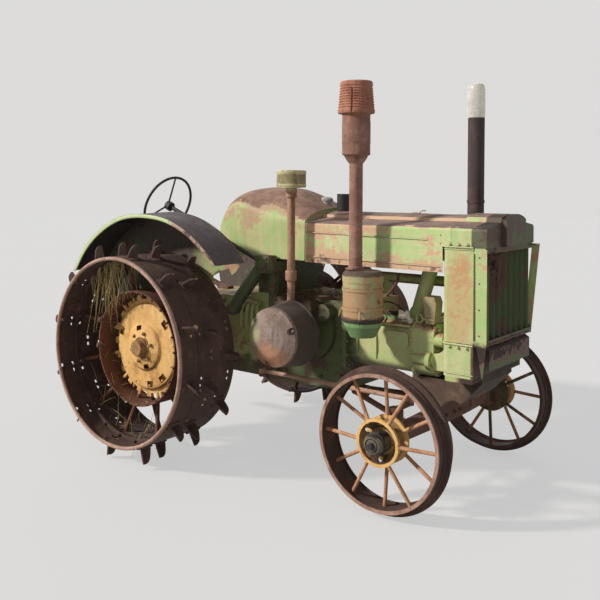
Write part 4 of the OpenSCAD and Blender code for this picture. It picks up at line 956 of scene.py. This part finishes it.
def hood_parts():
    s, y, z, ny, nz = hood_section()
    along = np.unique(
        np.concatenate([np.linspace(TANK_FRONT + 0.0075, TOP_TANK_X - 0.0015, 76), [NOTCH_X]]))
    hollow = dents(5, 46, (0.86, 1.84), (0, s[-1]), (0.025, 0.12), 0.0035)
    keep = ~(
        (0.5 * (along[:-1] + along[1:]) > NOTCH_X)[:, None]
        & (0.5 * (z[:-1] + z[1:]) < NOTCH_Z)[None])

    def point_at(x, k, w):
        k = k.astype(int)
        edge = np.minimum(1, np.minimum(x - along[0], along[-1] - x) / 0.03)
        deep = 0.0024 * (1 - w) + (hollow(x, s[k]) + 0.0008 * (1 + np.sin(9 * x + 5 * s[k]))) * edge
        return x, y[k] - ny[k] * deep, z[k] - nz[k] * deep
    parts = [pierced(point_at, along, np.arange(len(s)), keep)]
    for side in (-1, 1):
        w = side * (HOOD_HALF + 0.0005)
        # Two pressed mouldings, and rivets at both ends and along the lower edge
        for z0, z1, x1 in ((1.420, 1.411, 1.70), (1.274, 1.268, 1.776)):
            line = [(0.872, w, z0), (1.1, w, z0 - 0.001), (1.4, w, (z0 + z1) / 2), (x1, w, z1)]
            parts.append(rod(line, 30, 0.0045))
        rivets = [
            (x, w, z0) for x, heights in ((0.885, (1.26, 1.32, 1.38, 1.45)), (1.776, (1.395, 1.44)))
            for z0 in heights]
        parts.append(scatter(RIVET, rivets, (0, side, 0), 0.0055))
        low = [(x, w, 1.252) for x in np.linspace(0.96, 1.74, 6)]
        parts.append(scatter(RIVET, low, (0, side, 0), 0.005))
    # A bent clip and a short rod on the hood's top
    clip = [
        (1.50, -0.05, 1.5435), (1.512, -0.05, 1.555), (1.53, -0.047, 1.560),
        (1.541, -0.042, 1.5565)]
    parts.append(rod(clip, 14, 0.004))
    parts.append(
        tube([(1.44, -0.02, 1.5445), (1.475, -0.018, 1.5465), (1.49, -0.03, 1.5455)], 0.0035))
    return parts


HOOD = finish(
    "Hood",
    paint_coat(
        "b4d488 d8d6a6 d8b390 a3877b 77625a", 0.44, 0.36, 0.7, 0.6, runs=(1.3, 1.3, 16),
        patches=[
            ((1.05, 0, 1.45), (0.5, 1.0, 0.06), 0.13), ((1.2, 0, 1.350), (0.9, 1.0, 0.06), -0.1),
            ((1.25, 0, 1.245), (1.0, 1.0, 0.04), 0.24), ((1.68, 0, 1.42), (0.3, 1.0, 0.14), -0.2)]))
piece("hood_skin", hood_parts(), "sheet_green", nodes=["hood"], material=HOOD)

TANK_ROWS = [
    (0.110, 0.270, 1.300, 1.430, 1.622), (0.200, 0.312, 1.238, 1.530, 1.668),
    (0.310, 0.325, 1.238, 1.590, 1.692), (0.430, 0.328, 1.238, 1.560, 1.695),
    (0.600, 0.326, 1.238, 1.508, 1.683), (0.730, 0.320, 1.238, 1.495, 1.635),
    (0.858, 0.314, 1.238, 1.486, 1.562)]


def tank_parts(rows=70, points=121):
    """Sections with upright sides and an arched top, carried along a smooth curve of width, corner
    and crest; corners are rounded by averaging each section's points with their neighbours."""
    x, half, low, corner, crest = curve(TANK_ROWS, rows).T
    hollow = dents(11, 30, (0.1, 0.86), (-1, 1), (0.06, 0.18), 0.004)
    t = np.linspace(-1, 1, points)
    top = np.clip(np.abs(t) / 0.62, 0, 1)
    side = np.clip((np.abs(t) - 0.62) / 0.38, 0, 1)
    y = np.sign(t) * np.where(np.abs(t) < 0.62, np.sin(top * 1.2) / np.sin(1.2), 1.0)
    arch = (np.cos(top * 1.2) - np.cos(1.2)) / (1 - np.cos(1.2))
    section_y = half[:, None] * y
    section_z = np.where(
        np.abs(t) < 0.62, corner[:, None] + (crest - corner)[:, None] * arch,
        corner[:, None] + (low - corner)[:, None] * side)
    kernel = np.hanning(9)[1:-1] / np.hanning(9)[1:-1].sum()
    soften = lambda rows_in: np.apply_along_axis(
        lambda r: np.convolve(np.pad(r, 3, mode="edge"), kernel, "valid"), 1, rows_in)
    section_y, section_z = soften(section_y), soften(section_z)
    deep = 0.002 + hollow(np.repeat(x[:, None], points, 1), np.repeat(t[None], rows, 0))
    middle_z = (low + crest)[:, None] / 2
    reach = np.hypot(section_y, section_z - middle_z)
    section_y = section_y * (1 - deep / reach)
    section_z = middle_z + (section_z - middle_z) * (1 - deep / reach)

    def skin(u, v):
        u, v = u.astype(int), v.astype(int)
        return x[u], section_y[u, v], section_z[u, v]
    shell = grid(skin, np.arange(rows), np.arange(points))

    def end(row, bulge):
        def point_at(f, v):
            v = v.astype(int)
            z = middle_z[row] + (section_z[row, v] - middle_z[row]) * f
            return x[row] + bulge * (1 - f**2), section_y[row, v] * f, z
        return grid(point_at, np.linspace(0, 1, 8), np.arange(points), False, True)

    def underside(u, w):
        u = u.astype(int)
        return x[u], section_y[u, 0] * w, section_z[u, 0]
    floor = grid(underside, np.arange(rows), np.linspace(-1, 1, 3))
    seam = tube(
        np.stack([np.full(points, 0.8595), section_y[-1] * 1.004, section_z[-1] + 0.001], 1),
        0.0045, 8)
    return [shell, end(0, -0.012), end(-1, 0.0), floor, seam]


TANK = finish(
    "Tank",
    paint_coat(
        "a3c67b cbc592 c4a684 ad8b79 86695b", 0.37, 0.3, 0.3, 0.6, 1.3,
        patches=[
            ((0.35, 0, 1.50), (0.3, 1.0, 0.12), 0.12), ((0.75, 0, 1.35), (0.2, 1.0, 0.2), -0.12)]))
piece("tank_skin", tank_parts(), "sheet_green", nodes=["fuel_tank"], material=TANK)
cap = [
    (0, 0.030), (0.024, 0.030), (0.031, 0.027), (0.037, 0.021), (0.037, 0.008), (0.034, 0.004),
    (0.030, 0.004), (0.030, -0.026), (0, -0.026)]
CAP_AT, CAP_AXIS = np.array((0.803, 0, 1.6005)), (0.14, 0, 0.99)
cap_grip = ring(CAP_AT + 0.016 * np.array(CAP_AXIS), 0.036, 10, 0, CAP_AXIS)
piece(
    "tank_cap",
    [turned(cap, CAP_AT, CAP_AXIS, 48), scatter(RIVET, cap_grip, cap_grip - CAP_AT, 0.006)], "zinc",
    nodes=["fuel_cap"])

FENDER_Z, FENDER_R, FENDER_IN, FENDER_OUT = 0.7132, 0.822, 0.592, 0.860


def fender_parts():
    hollow = dents(23, 16, (0.7, 2.7), (0.592, 0.86), (0.08, 0.22), 0.004)
    turn = np.radians(np.linspace(40, 150, 111))
    across = np.linspace(FENDER_IN, FENDER_OUT, 25)

    def top(t, y, w):
        wave = 0.002 * (1 + np.sin(5 * t)) * (y - FENDER_IN) / 0.27
        return rolled(FENDER_R - 0.003 * (1 - w) - hollow(t, y) - wave, t, y, FENDER_Z)
    sheet = pierced(top, turn, across, np.ones((110, 24), bool))

    def lip(t, a):
        """A rolled lip below the outer edge: an ellipse 25 mm deep and 9 mm thick, drawn in to a
        point at each end."""
        size = np.minimum(1, np.minimum(t - turn[0], turn[-1] - t) / 0.02)
        dent = hollow(t, np.full_like(t, FENDER_OUT))
        r = FENDER_R - 0.0135 - dent - 0.002 * (1 + np.sin(5 * t)) + 0.0125 * size * np.cos(a)
        return rolled(r, t, FENDER_OUT - 0.001 + 0.0045 * size * np.sin(a), FENDER_Z)
    bead = grid(lip, turn, np.linspace(0, TAU, 12, endpoint=False), False, True)
    arc = np.radians(np.linspace(52.5, 150, 60))
    line = [
        (0.581, 1.216), (0.549, 1.177), (0.516, 1.156), (0.491, 1.197), (0.449, 1.182),
        (0.363, 1.143), (0.3, 1.013), (0.2, 0.773), (0.14, 0.563), (-0.14, 0.563), (-0.2, 0.665),
        (-0.65, 0.665), (-0.7119, 0.973)]
    r = FENDER_R - 0.004
    over = np.stack([r * np.cos(arc[::-1]), FENDER_Z + r * np.sin(arc[::-1])], 1)
    plate = prism(np.vstack([line, over]), -FENDER_IN, -FENDER_IN - 0.003)
    rivets = np.radians(np.linspace(58, 145, 14))
    places = np.stack(rolled(r - 0.02, rivets, np.full(14, FENDER_IN + 0.003), FENDER_Z), 1)
    stay = rod([(-0.3, -0.600, 1.43), (-0.31, -0.72, 1.455), (-0.315, -0.84, 1.458)], 16, 0.008)
    return [sheet, plate, scatter(RIVET, places, RIGHT, 0.008), stay], [bead]


# The darker rust on the faces that look down and the side plate's dark green are painted shade;
# towards the front the plate keeps its lighter green paint
FENDER = finish(
    "Fender", rust_coat("564b50 716665 3a3237", 0.8, 0.45),
    (rust_coat("342c2a 4a3d38 1f1917", 1.0, 0.4), facing_down),
    (paint_coat("4f5a3c 5f5a44 4f4238 43342c 2a211d", 0.5, 0.3), along("W", 0.606, 0.600)),
    (paint_coat("8fb26c c2ab84 b58f72 7c5f50 4a3a33", 0.5, 0.3),
     both(along("W", 0.606, 0.600), along("X", 0.16, 0.34, 0.1))))
BEAD = finish(
    "Fender bead",
    paint_coat(
        "c3dd9c d3dbaf b59a82 8f6f66 5a4642", 0.25, 0.2, 0.2, 0.0,
        patches=[((0.5, 0, 1.35), (0.42, 2.0, 0.4), 0.5)]))
sheets, beads = fender_parts()
both_sides(
    ("fender_skin", sheets, "sheet_green", None, "fender", FENDER),
    ("fender_bead", beads, "sheet_green", None, None, BEAD))


# Radiator: seams with bolts, and the shutter's hinge pins

def radiator_parts():
    front, back, half = 1.969, 1.790, HOOD_HALF
    t = np.radians(np.linspace(90, 180, 9))
    bend = np.stack([back + 0.03 + 0.031 * np.cos(t), half - 0.03 + 0.031 * np.sin(t)], 1)
    plan = np.vstack(
        [[(front, half + 0.001)], bend, bend[::-1] * (1, -1), [(front, -half - 0.001)]])
    parts = []
    for z, r in ((1.3795, 0.006), (0.8615, 0.007), (0.873, 0.003), (1.367, 0.003), (0.705, 0.004)):
        parts.append(tube(np.column_stack([plan, np.full(len(plan), z)]), r, 8))
    for side in (-1, 1):
        for z in (1.393, 0.847):
            bolts = [(x, side * HOOD_HALF, z) for x in (1.835, 1.885, 1.935)]
            parts.append(scatter(NUT, bolts, (0, side, 0), 0.011))
    return parts


piece("radiator_seams", radiator_parts(), "sheet_green")
hinges = [
    tube([(2.003, y, low), (2.003, y, high)], 0.008) for y in np.linspace(-0.2625, 0.2625, 8)
    for low, high in ((0.862, 0.885), (1.338, 1.349))]
strip_rivets = [(2.001, -0.3125, z) for z in np.linspace(0.92, 1.33, 4)]
hinges += [
    scatter(RIVET, strip_rivets, RIGHT, 0.005),
    rod(
        [(2.034, -0.255, 0.872), (2.037, -0.1, 0.868), (2.034, 0.1, 0.873), (2.036, 0.27, 0.869)],
        24, 0.005)]
piece("shutter_pins", hinges, "bare_rust")


# Engine: nuts on its flanges, plug and leads, lifting eye, fingers and covers

def engine_parts():
    flange = [(1.1415, y, z) for y in (-0.262, 0.262) for z in (0.62, 0.70, 0.78, 0.86, 0.93)]
    flange += [(1.1415, y, z) for y in (-0.16, 0, 0.16) for z in (0.592, 0.958)]
    head = [(1.7065, y, z) for y in (-0.205, -0.07, 0.07, 0.205) for z in (0.672, 0.79, 0.90)]
    joint = [(1.5695, side * 0.2525, z) for side in (-1, 1) for z in (0.70, 0.77, 0.84, 0.90)]
    eye = ring((1.60, -0.215, 0.958), 0.024, 18, 0, (0.25, 1, 0))
    eye_low = ring((1.645, -0.20, 0.955), 0.019, 18, 0, (1, 0.4, 0))
    oval = np.array([(0.665, 0.953), (0.74, 0.953), (0.665, 1.0), (0.74, 1.0)])
    cover = [(x, -0.3555, z) for x, z in oval]
    parts = [
        scatter(NUT, flange, AHEAD, 0.015), scatter(NUT, head, AHEAD, 0.017),
        scatter(NUT, joint[:4], RIGHT, 0.013), scatter(NUT, joint[4:], LEFT, 0.013),
        tube(eye, 0.0065, 8, True), tube(eye_low, 0.0055, 8, True),
        scatter(NUT, cover, RIGHT, 0.011)]
    # Pushrod cover and water passages along the block's side, with cast ribs
    ribs = [
        rod(
            [(x, -0.2395, 0.70), (x + 0.004, -0.246, 0.76), (x, -0.2425, 0.86),
             (x - 0.01, -0.236, 0.905)],
            16, 0.006)
        for x in (1.20, 1.33)]
    pad = prism(
        [(1.405, 0.80), (1.42, 0.785), (1.535, 0.787), (1.548, 0.80), (1.545, 0.862), (1.53, 0.876),
         (1.42, 0.874), (1.405, 0.86)],
        -0.238, -0.252)
    ledge = prism([(1.16, 0.905), (1.56, 0.905), (1.56, 0.917), (1.16, 0.917)], -0.235, -0.249)
    return parts + ribs + [pad, ledge]


# The fittings share the block's finish, with its painted shadow on the rear part
piece("engine_fittings", engine_parts(), "cast_green", material=OWN["cylinder_block"], bevel=0.002)

fingers = []
for x, length, lean in (
        (0.345, 0.15, -0.02), (0.383, 0.165, -0.008), (0.421, 0.155, 0.004), (0.458, 0.135, 0.016)):
    line = curve(
        [(x, -0.244, 0.935), (x + lean * 0.3, -0.285, 0.925), (x + lean * 0.6, -0.300, 0.88),
         (x + lean, -0.296, 0.93 - length)],
        18)
    fingers.append(tube(line, np.linspace(0.017, 0.009, 18), 10))
root = curve([(0.33, -0.262, 0.935), (0.40, -0.268, 0.942), (0.47, -0.262, 0.934)], 12)
fingers.append(tube(root, 0.016, 10))
casting = [
    turned(
        [(0, 0.244), (0.062, 0.244), (0.064, 0.262), (0.052, 0.27), (0.03, 0.284), (0, 0.288)],
        (0.52, 0, 0.72), steps=36),
    scatter(NUT, ring((0.52, -0.262, 0.72), 0.054, 5, 30), RIGHT, 0.010),
    turned(
        [(0, 0.244), (0.04, 0.244), (0.042, 0.256), (0.03, 0.262), (0, 0.264)], (0.31, 0, 0.62),
        steps=30),
    scatter(
        NUT,
        [(x, -0.2455, z)
         for x, z in (
             (0.50, 0.50), (0.62, 0.50), (0.74, 0.50), (1.02, 0.50), (1.09, 0.56), (1.09, 0.70),
             (0.94, 0.53), (0.22, 0.52))],
        RIGHT, 0.014)]
# The fingers, castings and nuts share the case's finish with its painted shade
piece("case_fittings", fingers + casting, "cast_green", material=OWN["main_case"], bevel=0.0015)

plug = turned(
    [(0, -0.01), (0.016, -0.01), (0.017, 0.006), (0.010, 0.008), (0.0115, 0.02), (0.0095, 0.024),
     (0.011, 0.032), (0.0085, 0.038), (0.0095, 0.052), (0.004, 0.058), (0.004, 0.068), (0, 0.07)],
    (1.545, -0.225, 0.940), (-0.15, -0.5, 0.85), 20)


def plain(name, color, roughness=0.6, **constants):
    """A simple finish with a faint mottle, for small things."""
    material, wire, vector = new_material(name)
    mottle = wire.noise(vector, 60.0, 4.0, 0.6)
    shade = wire.mix(
        wire.step(mottle, 0.3, 0.7, 0.0, 0.5), tone(color),
        wire.mix(1.0, tone(color), (0.6, 0.56, 0.52, 1), "MULTIPLY"))
    surface(wire, shade, roughness, mottle, 0.0004, **constants)
    return material


CERAMIC = plain("Plug ceramic", "e8e4da", 0.3)
RUBBER = plain("Cracked rubber", "2b2726", 0.7)
STRAW = plain("Dry straw", "cdbd88", 0.8)
STALK = plain("Dead stalk", "5d4a38", 0.9)
piece("spark_plug", [plug], "zinc", material=CERAMIC)
wires = [
    rod(
        [(1.535, -0.262, 0.996), (1.50, -0.29, 1.03), (1.44, -0.285, 1.045), (1.38, -0.262, 1.03),
         (1.33, -0.235, 0.99), (1.25, -0.215, 1.02)],
        50, 0.0042),
    rod(
        [(0.885, -0.300, 1.236), (0.93, -0.296, 1.20), (0.98, -0.285, 1.165), (1.021, -0.26, 1.12),
         (1.05, -0.22, 1.04)],
        40, 0.0028),
    rod(
        [(1.143, -0.240, 1.02), (1.145, -0.262, 1.12), (1.157, -0.270, 1.19), (1.168, -0.262, 1.12),
         (1.172, -0.240, 1.03)],
        40, 0.003),
    rod(
        [(0.90, -0.10, 1.012), (0.96, -0.16, 1.04), (1.04, -0.19, 1.018), (1.10, -0.21, 1.03)], 30,
        0.006)]
piece("leads_and_wires", wires, "black_iron", material=RUBBER)
debris = [
    tube([(0.90, -0.22, 1.016), (1.08, -0.16, 1.026)], 0.009),
    tube([(0.66, -0.235, 1.017), (0.83, -0.19, 1.03)], 0.007),
    tube([(0.98, -0.05, 1.017), (1.10, -0.20, 1.030)], 0.007),
    rod(
        [(1.20, -0.13, 0.93), (1.30, -0.18, 1.0), (1.42, -0.19, 1.12), (1.46, -0.2, 1.20)], 24,
        0.009)]
piece("rods_on_the_case", debris, "bare_rust")

collar = turned(
    [(0.025, 1.128), (0.033, 1.130), (0.035, 1.136), (0.035, 1.184), (0.033, 1.190),
     (0.025, 1.192)],
    BREATHER, UP, 32)
breather_cup = turned(
    [(0.0885, 1.700), (0.091, 1.703), (0.091, 1.711), (0.0885, 1.714), (0.0885, 1.772),
     (0.091, 1.776), (0.091, 1.790), (0.0885, 1.793)],
    BREATHER, UP, 48)
piece("breather_bands", [collar, breather_cup], "rusted_stack", material=OWN["breather"])


# Stacks: bands, clamps, louvres and the bottle

bands = [
    turned(band(0.112, 0.1175, z, z + h, 0.001), CLEANER, UP, 56)
    for z, h in ((1.010, 0.022), (1.118, 0.018))]
clamp = ring(CLEANER + (0, 0, 0.9655), 0.122, 4, 25, UP)
for place in clamp:
    out = (place - CLEANER) * (1, 1, 0)
    out = out / np.linalg.norm(out)
    bands.append(
        rod(
            [place + (0, 0, -0.02), place + out * 0.012, place + out * 0.006 + (0, 0, 0.03),
             place - out * 0.004 + (0, 0, 0.05)],
            12, 0.005))
bands.append(
    turned([(0.079, 0.904), (0.084, 0.905), (0.084, 0.913), (0.079, 0.915)], CLEANER, UP, 48))
piece("cleaner_bands", bands, "cleaner_rust", material=OWN["air_cleaner"])

# Nine louvres round the crown, one each 14.9 mm
z = np.linspace(2.128, 2.262, 91)
pressed = 0.0045 * (0.5 - 0.5 * np.cos((z - 2.128) / 0.0149 * TAU)) ** 0.6
louvres = np.stack([0.104 - (z - 2.124) * 0.0822 - pressed, z], 1)
skin = [
    (0, 1.228), (0.044, 1.2282), (0.044, 1.246), (0.038, 1.252), (0.0375, 1.50), (0.038, 1.72),
    (0.038, 1.828), (0.044, 1.834), (0.056, 1.850), (0.068, 1.872), (0.0795, 1.878), (0.080, 1.884),
    (0.0785, 1.890), (0.0785, 1.935), (0.080, 1.940), (0.080, 2.06), (0.0785, 2.066),
    (0.0785, 2.098), (0.080, 2.106), (0.101, 2.108), (0.1035, 2.114), (0.104, 2.124)]
skin += louvres.tolist() + [
    (0.092, 2.268), (0.0915, 2.280), (0.086, 2.287), (0.03, 2.2895), (0, 2.290)]
stack, stack_faces = turned(skin, INTAKE, UP, 96)
angle = np.arctan2(stack[:, 1] - INTAKE[1], stack[:, 0] - INTAKE[0])
# The crown's torn seam: a narrow dip toward the pipe's middle
ripped = np.exp(-((angle + 1.25) / 0.035) ** 2)
ripped = ripped * np.clip((stack[:, 2] - 2.10) / 0.02, 0, 1)
ripped = ripped * np.clip((2.255 - stack[:, 2]) / 0.02, 0, 1)
stack[:, :2] -= (stack[:, :2] - INTAKE[:2]) * 0.14 * ripped[:, None]
clamp_bolt = tube([(INTAKE[0] + x, INTAKE[1] - 0.052, 1.238) for x in (0.02, -0.03)], 0.006)
piece(
    "intake_stack_skin", [(stack, stack_faces), clamp_bolt], "rusted_stack", nodes=["intake_stack"])

bottle = [
    (0.0516, 2.1205), (0.0528, 2.135), (0.0530, 2.16), (0.0522, 2.165), (0.0530, 2.17),
    (0.0530, 2.295), (0.049, 2.312), (0.040, 2.324), (0.02, 2.3295), (0, 2.3302), (0, 2.3285),
    (0.02, 2.328), (0.039, 2.3222), (0.0475, 2.311), (0.0514, 2.294), (0.0514, 2.136),
    (0.0506, 2.1225)]
piece("bottle", [turned(bottle, EXHAUST, UP, 48)], "clear_plastic", nodes=["rain_cover"])
stack_bands = [
    turned(band(0.0495, 0.0535, z, z + 0.018, 0.001), EXHAUST, UP, 40) for z in (1.2, 1.60)]
piece("exhaust_bands", stack_bands, "rusted_stack", material=OWN["exhaust_stack"])


# Belt pulley: seam ring, bolts in its notches and studs round its back edge

seam = ring(PULLEY - (0, 0.6475, 0), 0.132, 72)
turn = np.radians(np.array([20, 140, 260]))
notch_bolts = PULLEY + np.stack(
    [0.156 * np.cos(turn), np.full(3, -0.6145), 0.156 * np.sin(turn)], 1)
pulley_parts = [
    tube(seam, 0.0035, 8, True), scatter(NUT, notch_bolts, RIGHT, 0.014),
    turned(
        [(0, 0.682), (0.022, 0.6835), (0.03, 0.6855), (0.033, 0.6845), (0.034, 0.680), (0, 0.680)],
        PULLEY, steps=36),
    scatter(NUT, ring(PULLEY - (0, 0.6585, 0), 0.098, 6, 10), RIGHT, 0.009)]
piece("pulley_fittings", pulley_parts, "pulley_rust", "pulley_body")


# Pin under the radiator, and nuts on the axle, brackets and column

pin = [
    tube([(1.861, -0.100, 0.600), (1.861, -0.100, 0.478)], 0.009, 10),
    tube([(1.861, -0.125, 0.592), (1.861, -0.075, 0.592)], 0.008, 10)]
piece("hitch_pin", pin, "bare_rust")
axle_nuts = [
    scatter(
        NUT,
        [(FRONT_X - 0.0385, s * y, FRONT_Z + dz) for s in (-1, 1)
         for y, dz in ((0.33, 0.0), (0.09, 0.02), (0.09, -0.02))],
        (-1, 0, 0), 0.012),
    scatter(
        NUT, [(FRONT_X + 0.0385, s * y, FRONT_Z) for s in (-1, 1) for y in (0.05, 0.12)], AHEAD,
        0.014)]
piece("axle_nuts", axle_nuts, "bare_rust")
column = [
    scatter(NUT, [(x, -0.4125, z) for x in (0.563, 0.637) for z in (1.172, 1.250)], RIGHT, 0.010),
    turned(
        [(0, 0.411), (0.028, 0.411), (0.03, 0.4165), (0.018, 0.421), (0, 0.422)], (0.60, 0, 1.212),
        steps=30),
    turned(band(0.032, 0.037, 0.80, 0.828), (0.60, -0.292, 0), UP, 32)]
# The column's nuts and collars share its painted shade
piece("column_fittings", column, "cast_green", material=OWN["steering_column"])
housing = [
    scatter(NUT, ring((0, side * 0.2695, AXLE_Z), 0.146, 8, 10), (0, side, 0), 0.015)
    for side in (-1, 1)]
piece("axle_housing_nuts", housing, "cast_green")


# Dry grass caught in the rear wheels and on the case

def blades(root, lean, length, sag, width=0.0014, levels=6):
    """Thin blades, each a narrow strip along root + L (s lean - sag s^2 z) for s from 0 to 1, which
    tapers to its tip."""
    lean = lean / np.linalg.norm(lean, axis=1, keepdims=True)
    a, b, _ = frames(lean)
    s = np.linspace(0, 1, levels)[None, :, None]
    middle = root[:, None] + length[:, None, None] * (s * lean[:, None] - sag * s**2 * np.array(UP))
    half = width * (1 - 0.7 * s)
    points = np.stack(
        [middle + half * (i * a[:, None] + j * b[:, None])
         for i, j in ((1, 0.4), (-1, 0.4), (-1, -0.4), (1, -0.4))],
        2)
    _, faces = grid(lambda u, v: (u, v, u), np.arange(levels), np.arange(4), False, True)
    last = 4 * (levels - 1)
    faces = np.vstack([faces, [[3, 2, 1, 0], [last, last + 1, last + 2, last + 3]]])
    return points.reshape(-1, 3), (
        faces[None] + 4 * levels * np.arange(len(root))[:, None, None]).reshape(-1, 4)


def straw_parts():
    """Blades that lie in the lower rim, and longer ones that hang from the upper rim to the
    drum."""
    table = np.random.default_rng(4)
    turn, y = table.uniform(-2.7, -0.45, 70), table.uniform(0.74, 0.94, 70)
    low = np.stack(rolled(0.55, turn, y), 1)
    outward = 0.5 * (low - (0, -0.8, AXLE_Z)) * (1, 0, 1)
    lean = table.normal(0, 0.5, (70, 3)) * (1, 0.5, 1) + (0, 0, 0.35) - outward
    lying = blades(low, lean, table.uniform(0.06, 0.2, 70), 0.25)
    turn, y = table.uniform(1.62, 2.3, 64), table.uniform(0.84, 1.0, 64)
    high = np.stack(rolled(0.56, turn, y), 1)
    hanging = blades(
        high, table.normal(0, 0.22, (64, 3)) + (0.1, 0, -1), table.uniform(0.14, 0.34, 64), -0.1,
        0.0018, 8)
    turn = table.uniform(1.66, 2.15, 18)
    far = np.stack(rolled(0.56, turn, table.uniform(0.93, 1.0, 18)), 1)
    long = blades(
        far, table.normal(0, 0.16, (18, 3)) + (-0.05, 0, -1), table.uniform(0.3, 0.5, 18), -0.05,
        0.0018, 10)
    turn = table.uniform(0, TAU, 40)
    drum = np.stack(rolled(0.345, turn, table.uniform(0.83, 0.91, 40)), 1)
    inner = blades(
        drum, table.normal(0, 0.6, (40, 3)) - 2.0 * (drum - (0, -0.86, AXLE_Z)) * (1, 0, 1),
        table.uniform(0.03, 0.12, 40), 0.2)
    return [lying, hanging, long, inner]


def stalk_parts():
    table = np.random.default_rng(9)
    root = np.stack(
        [table.uniform(0.80, 1.12, 90), -table.uniform(0.05, 0.25, 90),
         table.uniform(1.012, 1.03, 90)],
        1)
    return [
        blades(
            root, table.normal(0, 1, (90, 3)) * (1, 1, 0.18) + (0, 0, 0.12),
            table.uniform(0.08, 0.26, 90), 0.12, 0.0026)]


both_sides(("dry_grass", straw_parts(), "rim_rust", "rear_wheel", None, STRAW))
piece("stalks_on_the_case", stalk_parts(), "bare_rust", material=STALK)

# Softer edges on the castings and plates that the frame supplies
for name in (
        "main_case", "cylinder_block", "cylinder_head", "intake_elbow", "radiator_top_tank",
        "radiator_bottom_tank", "steering_column", "front_bolster", "tank_support", "platform",
        "belt_pulley", "front_axle"):
    soft_edges(NODES[name], 0.004)


# Floor, lamps and camera

def stage_material(name, color, shown):
    """A diffuse floor that looks a little brighter to camera, glossy and transmission rays."""
    material, wire, _ = new_material(name)
    matt = wire("ShaderNodeBsdfDiffuse", None, Color=color)
    glow = wire("ShaderNodeEmission", None, Color=(1, 1, 1, 1), Strength=0.95)
    mixed = wire(
        "ShaderNodeMixShader", None, i0=wire.times(wire.seen(), shown), i1=matt.outputs[0],
        i2=glow.outputs[0])
    wire("ShaderNodeOutputMaterial", None, Surface=mixed.outputs[0])
    return material


def make_floor(radius=40.0):
    """A flat disc: (r cos a, r sin a, 0) over angle a and radius r."""
    angle = np.linspace(0, TAU, 64, endpoint=False)
    rim = np.stack([radius * np.cos(angle), radius * np.sin(angle), np.zeros(64)], 1)
    mesh = bpy.data.meshes.new("floor")
    mesh.from_pydata(rim.tolist(), [], [list(range(64))])
    floor = bpy.data.objects.new("floor", mesh)
    bpy.context.scene.collection.objects.link(floor)
    mesh.materials.append(stage_material("Pale floor", (0.5, 0.49, 0.47, 1), 0.55))


def make_world():
    world = bpy.data.worlds.new("Plain")
    bpy.context.scene.world = world
    world.use_nodes = True
    world.node_tree.nodes.clear()
    wire = Wires(world.node_tree)
    fill = wire("ShaderNodeBackground", None, Color=(0.93, 0.96, 1, 1), Strength=0.32)
    back = wire("ShaderNodeBackground", None, Color=(1, 0.99, 0.975, 1), Strength=0.72)
    mixed = wire(
        "ShaderNodeMixShader", None, i0=wire.seen(), i1=fill.outputs[0], i2=back.outputs[0])
    wire("ShaderNodeOutputWorld", None, Surface=mixed.outputs[0])


def make_lamp(name, kind, energy, turn, **settings):
    lamp = bpy.data.lights.new(name, kind)
    lamp.energy = energy
    for key, value in settings.items():
        setattr(lamp, key, value)
    holder = bpy.data.objects.new(name, lamp)
    holder.rotation_euler = np.radians(turn)
    bpy.context.scene.collection.objects.link(holder)


def make_camera():
    """The photograph's place and lens, solved from the wheel rims."""
    data = bpy.data.cameras.new("camera")
    data.sensor_width, data.lens = 36, 47.61
    data.shift_x, data.shift_y = 0.0463, -0.1538
    data.clip_end = 200
    camera = bpy.data.objects.new("camera", data)
    camera.location = (3.794 + REAR_AXLE_X, -4.171, 1.700)
    camera.rotation_euler = np.radians((88.45, -0.11, 39.6))
    bpy.context.scene.collection.objects.link(camera)
    bpy.context.scene.camera = camera


make_floor()
make_world()
make_lamp("key", "SUN", 3.4, (60, 0, -42), angle=0.09, color=(1, 0.96, 0.9))
make_lamp("fill", "SUN", 0.8, (76, 0, -140), angle=0.8, color=(0.95, 0.97, 1))
make_camera()

bpy.context.scene.view_settings.view_transform = "Standard"
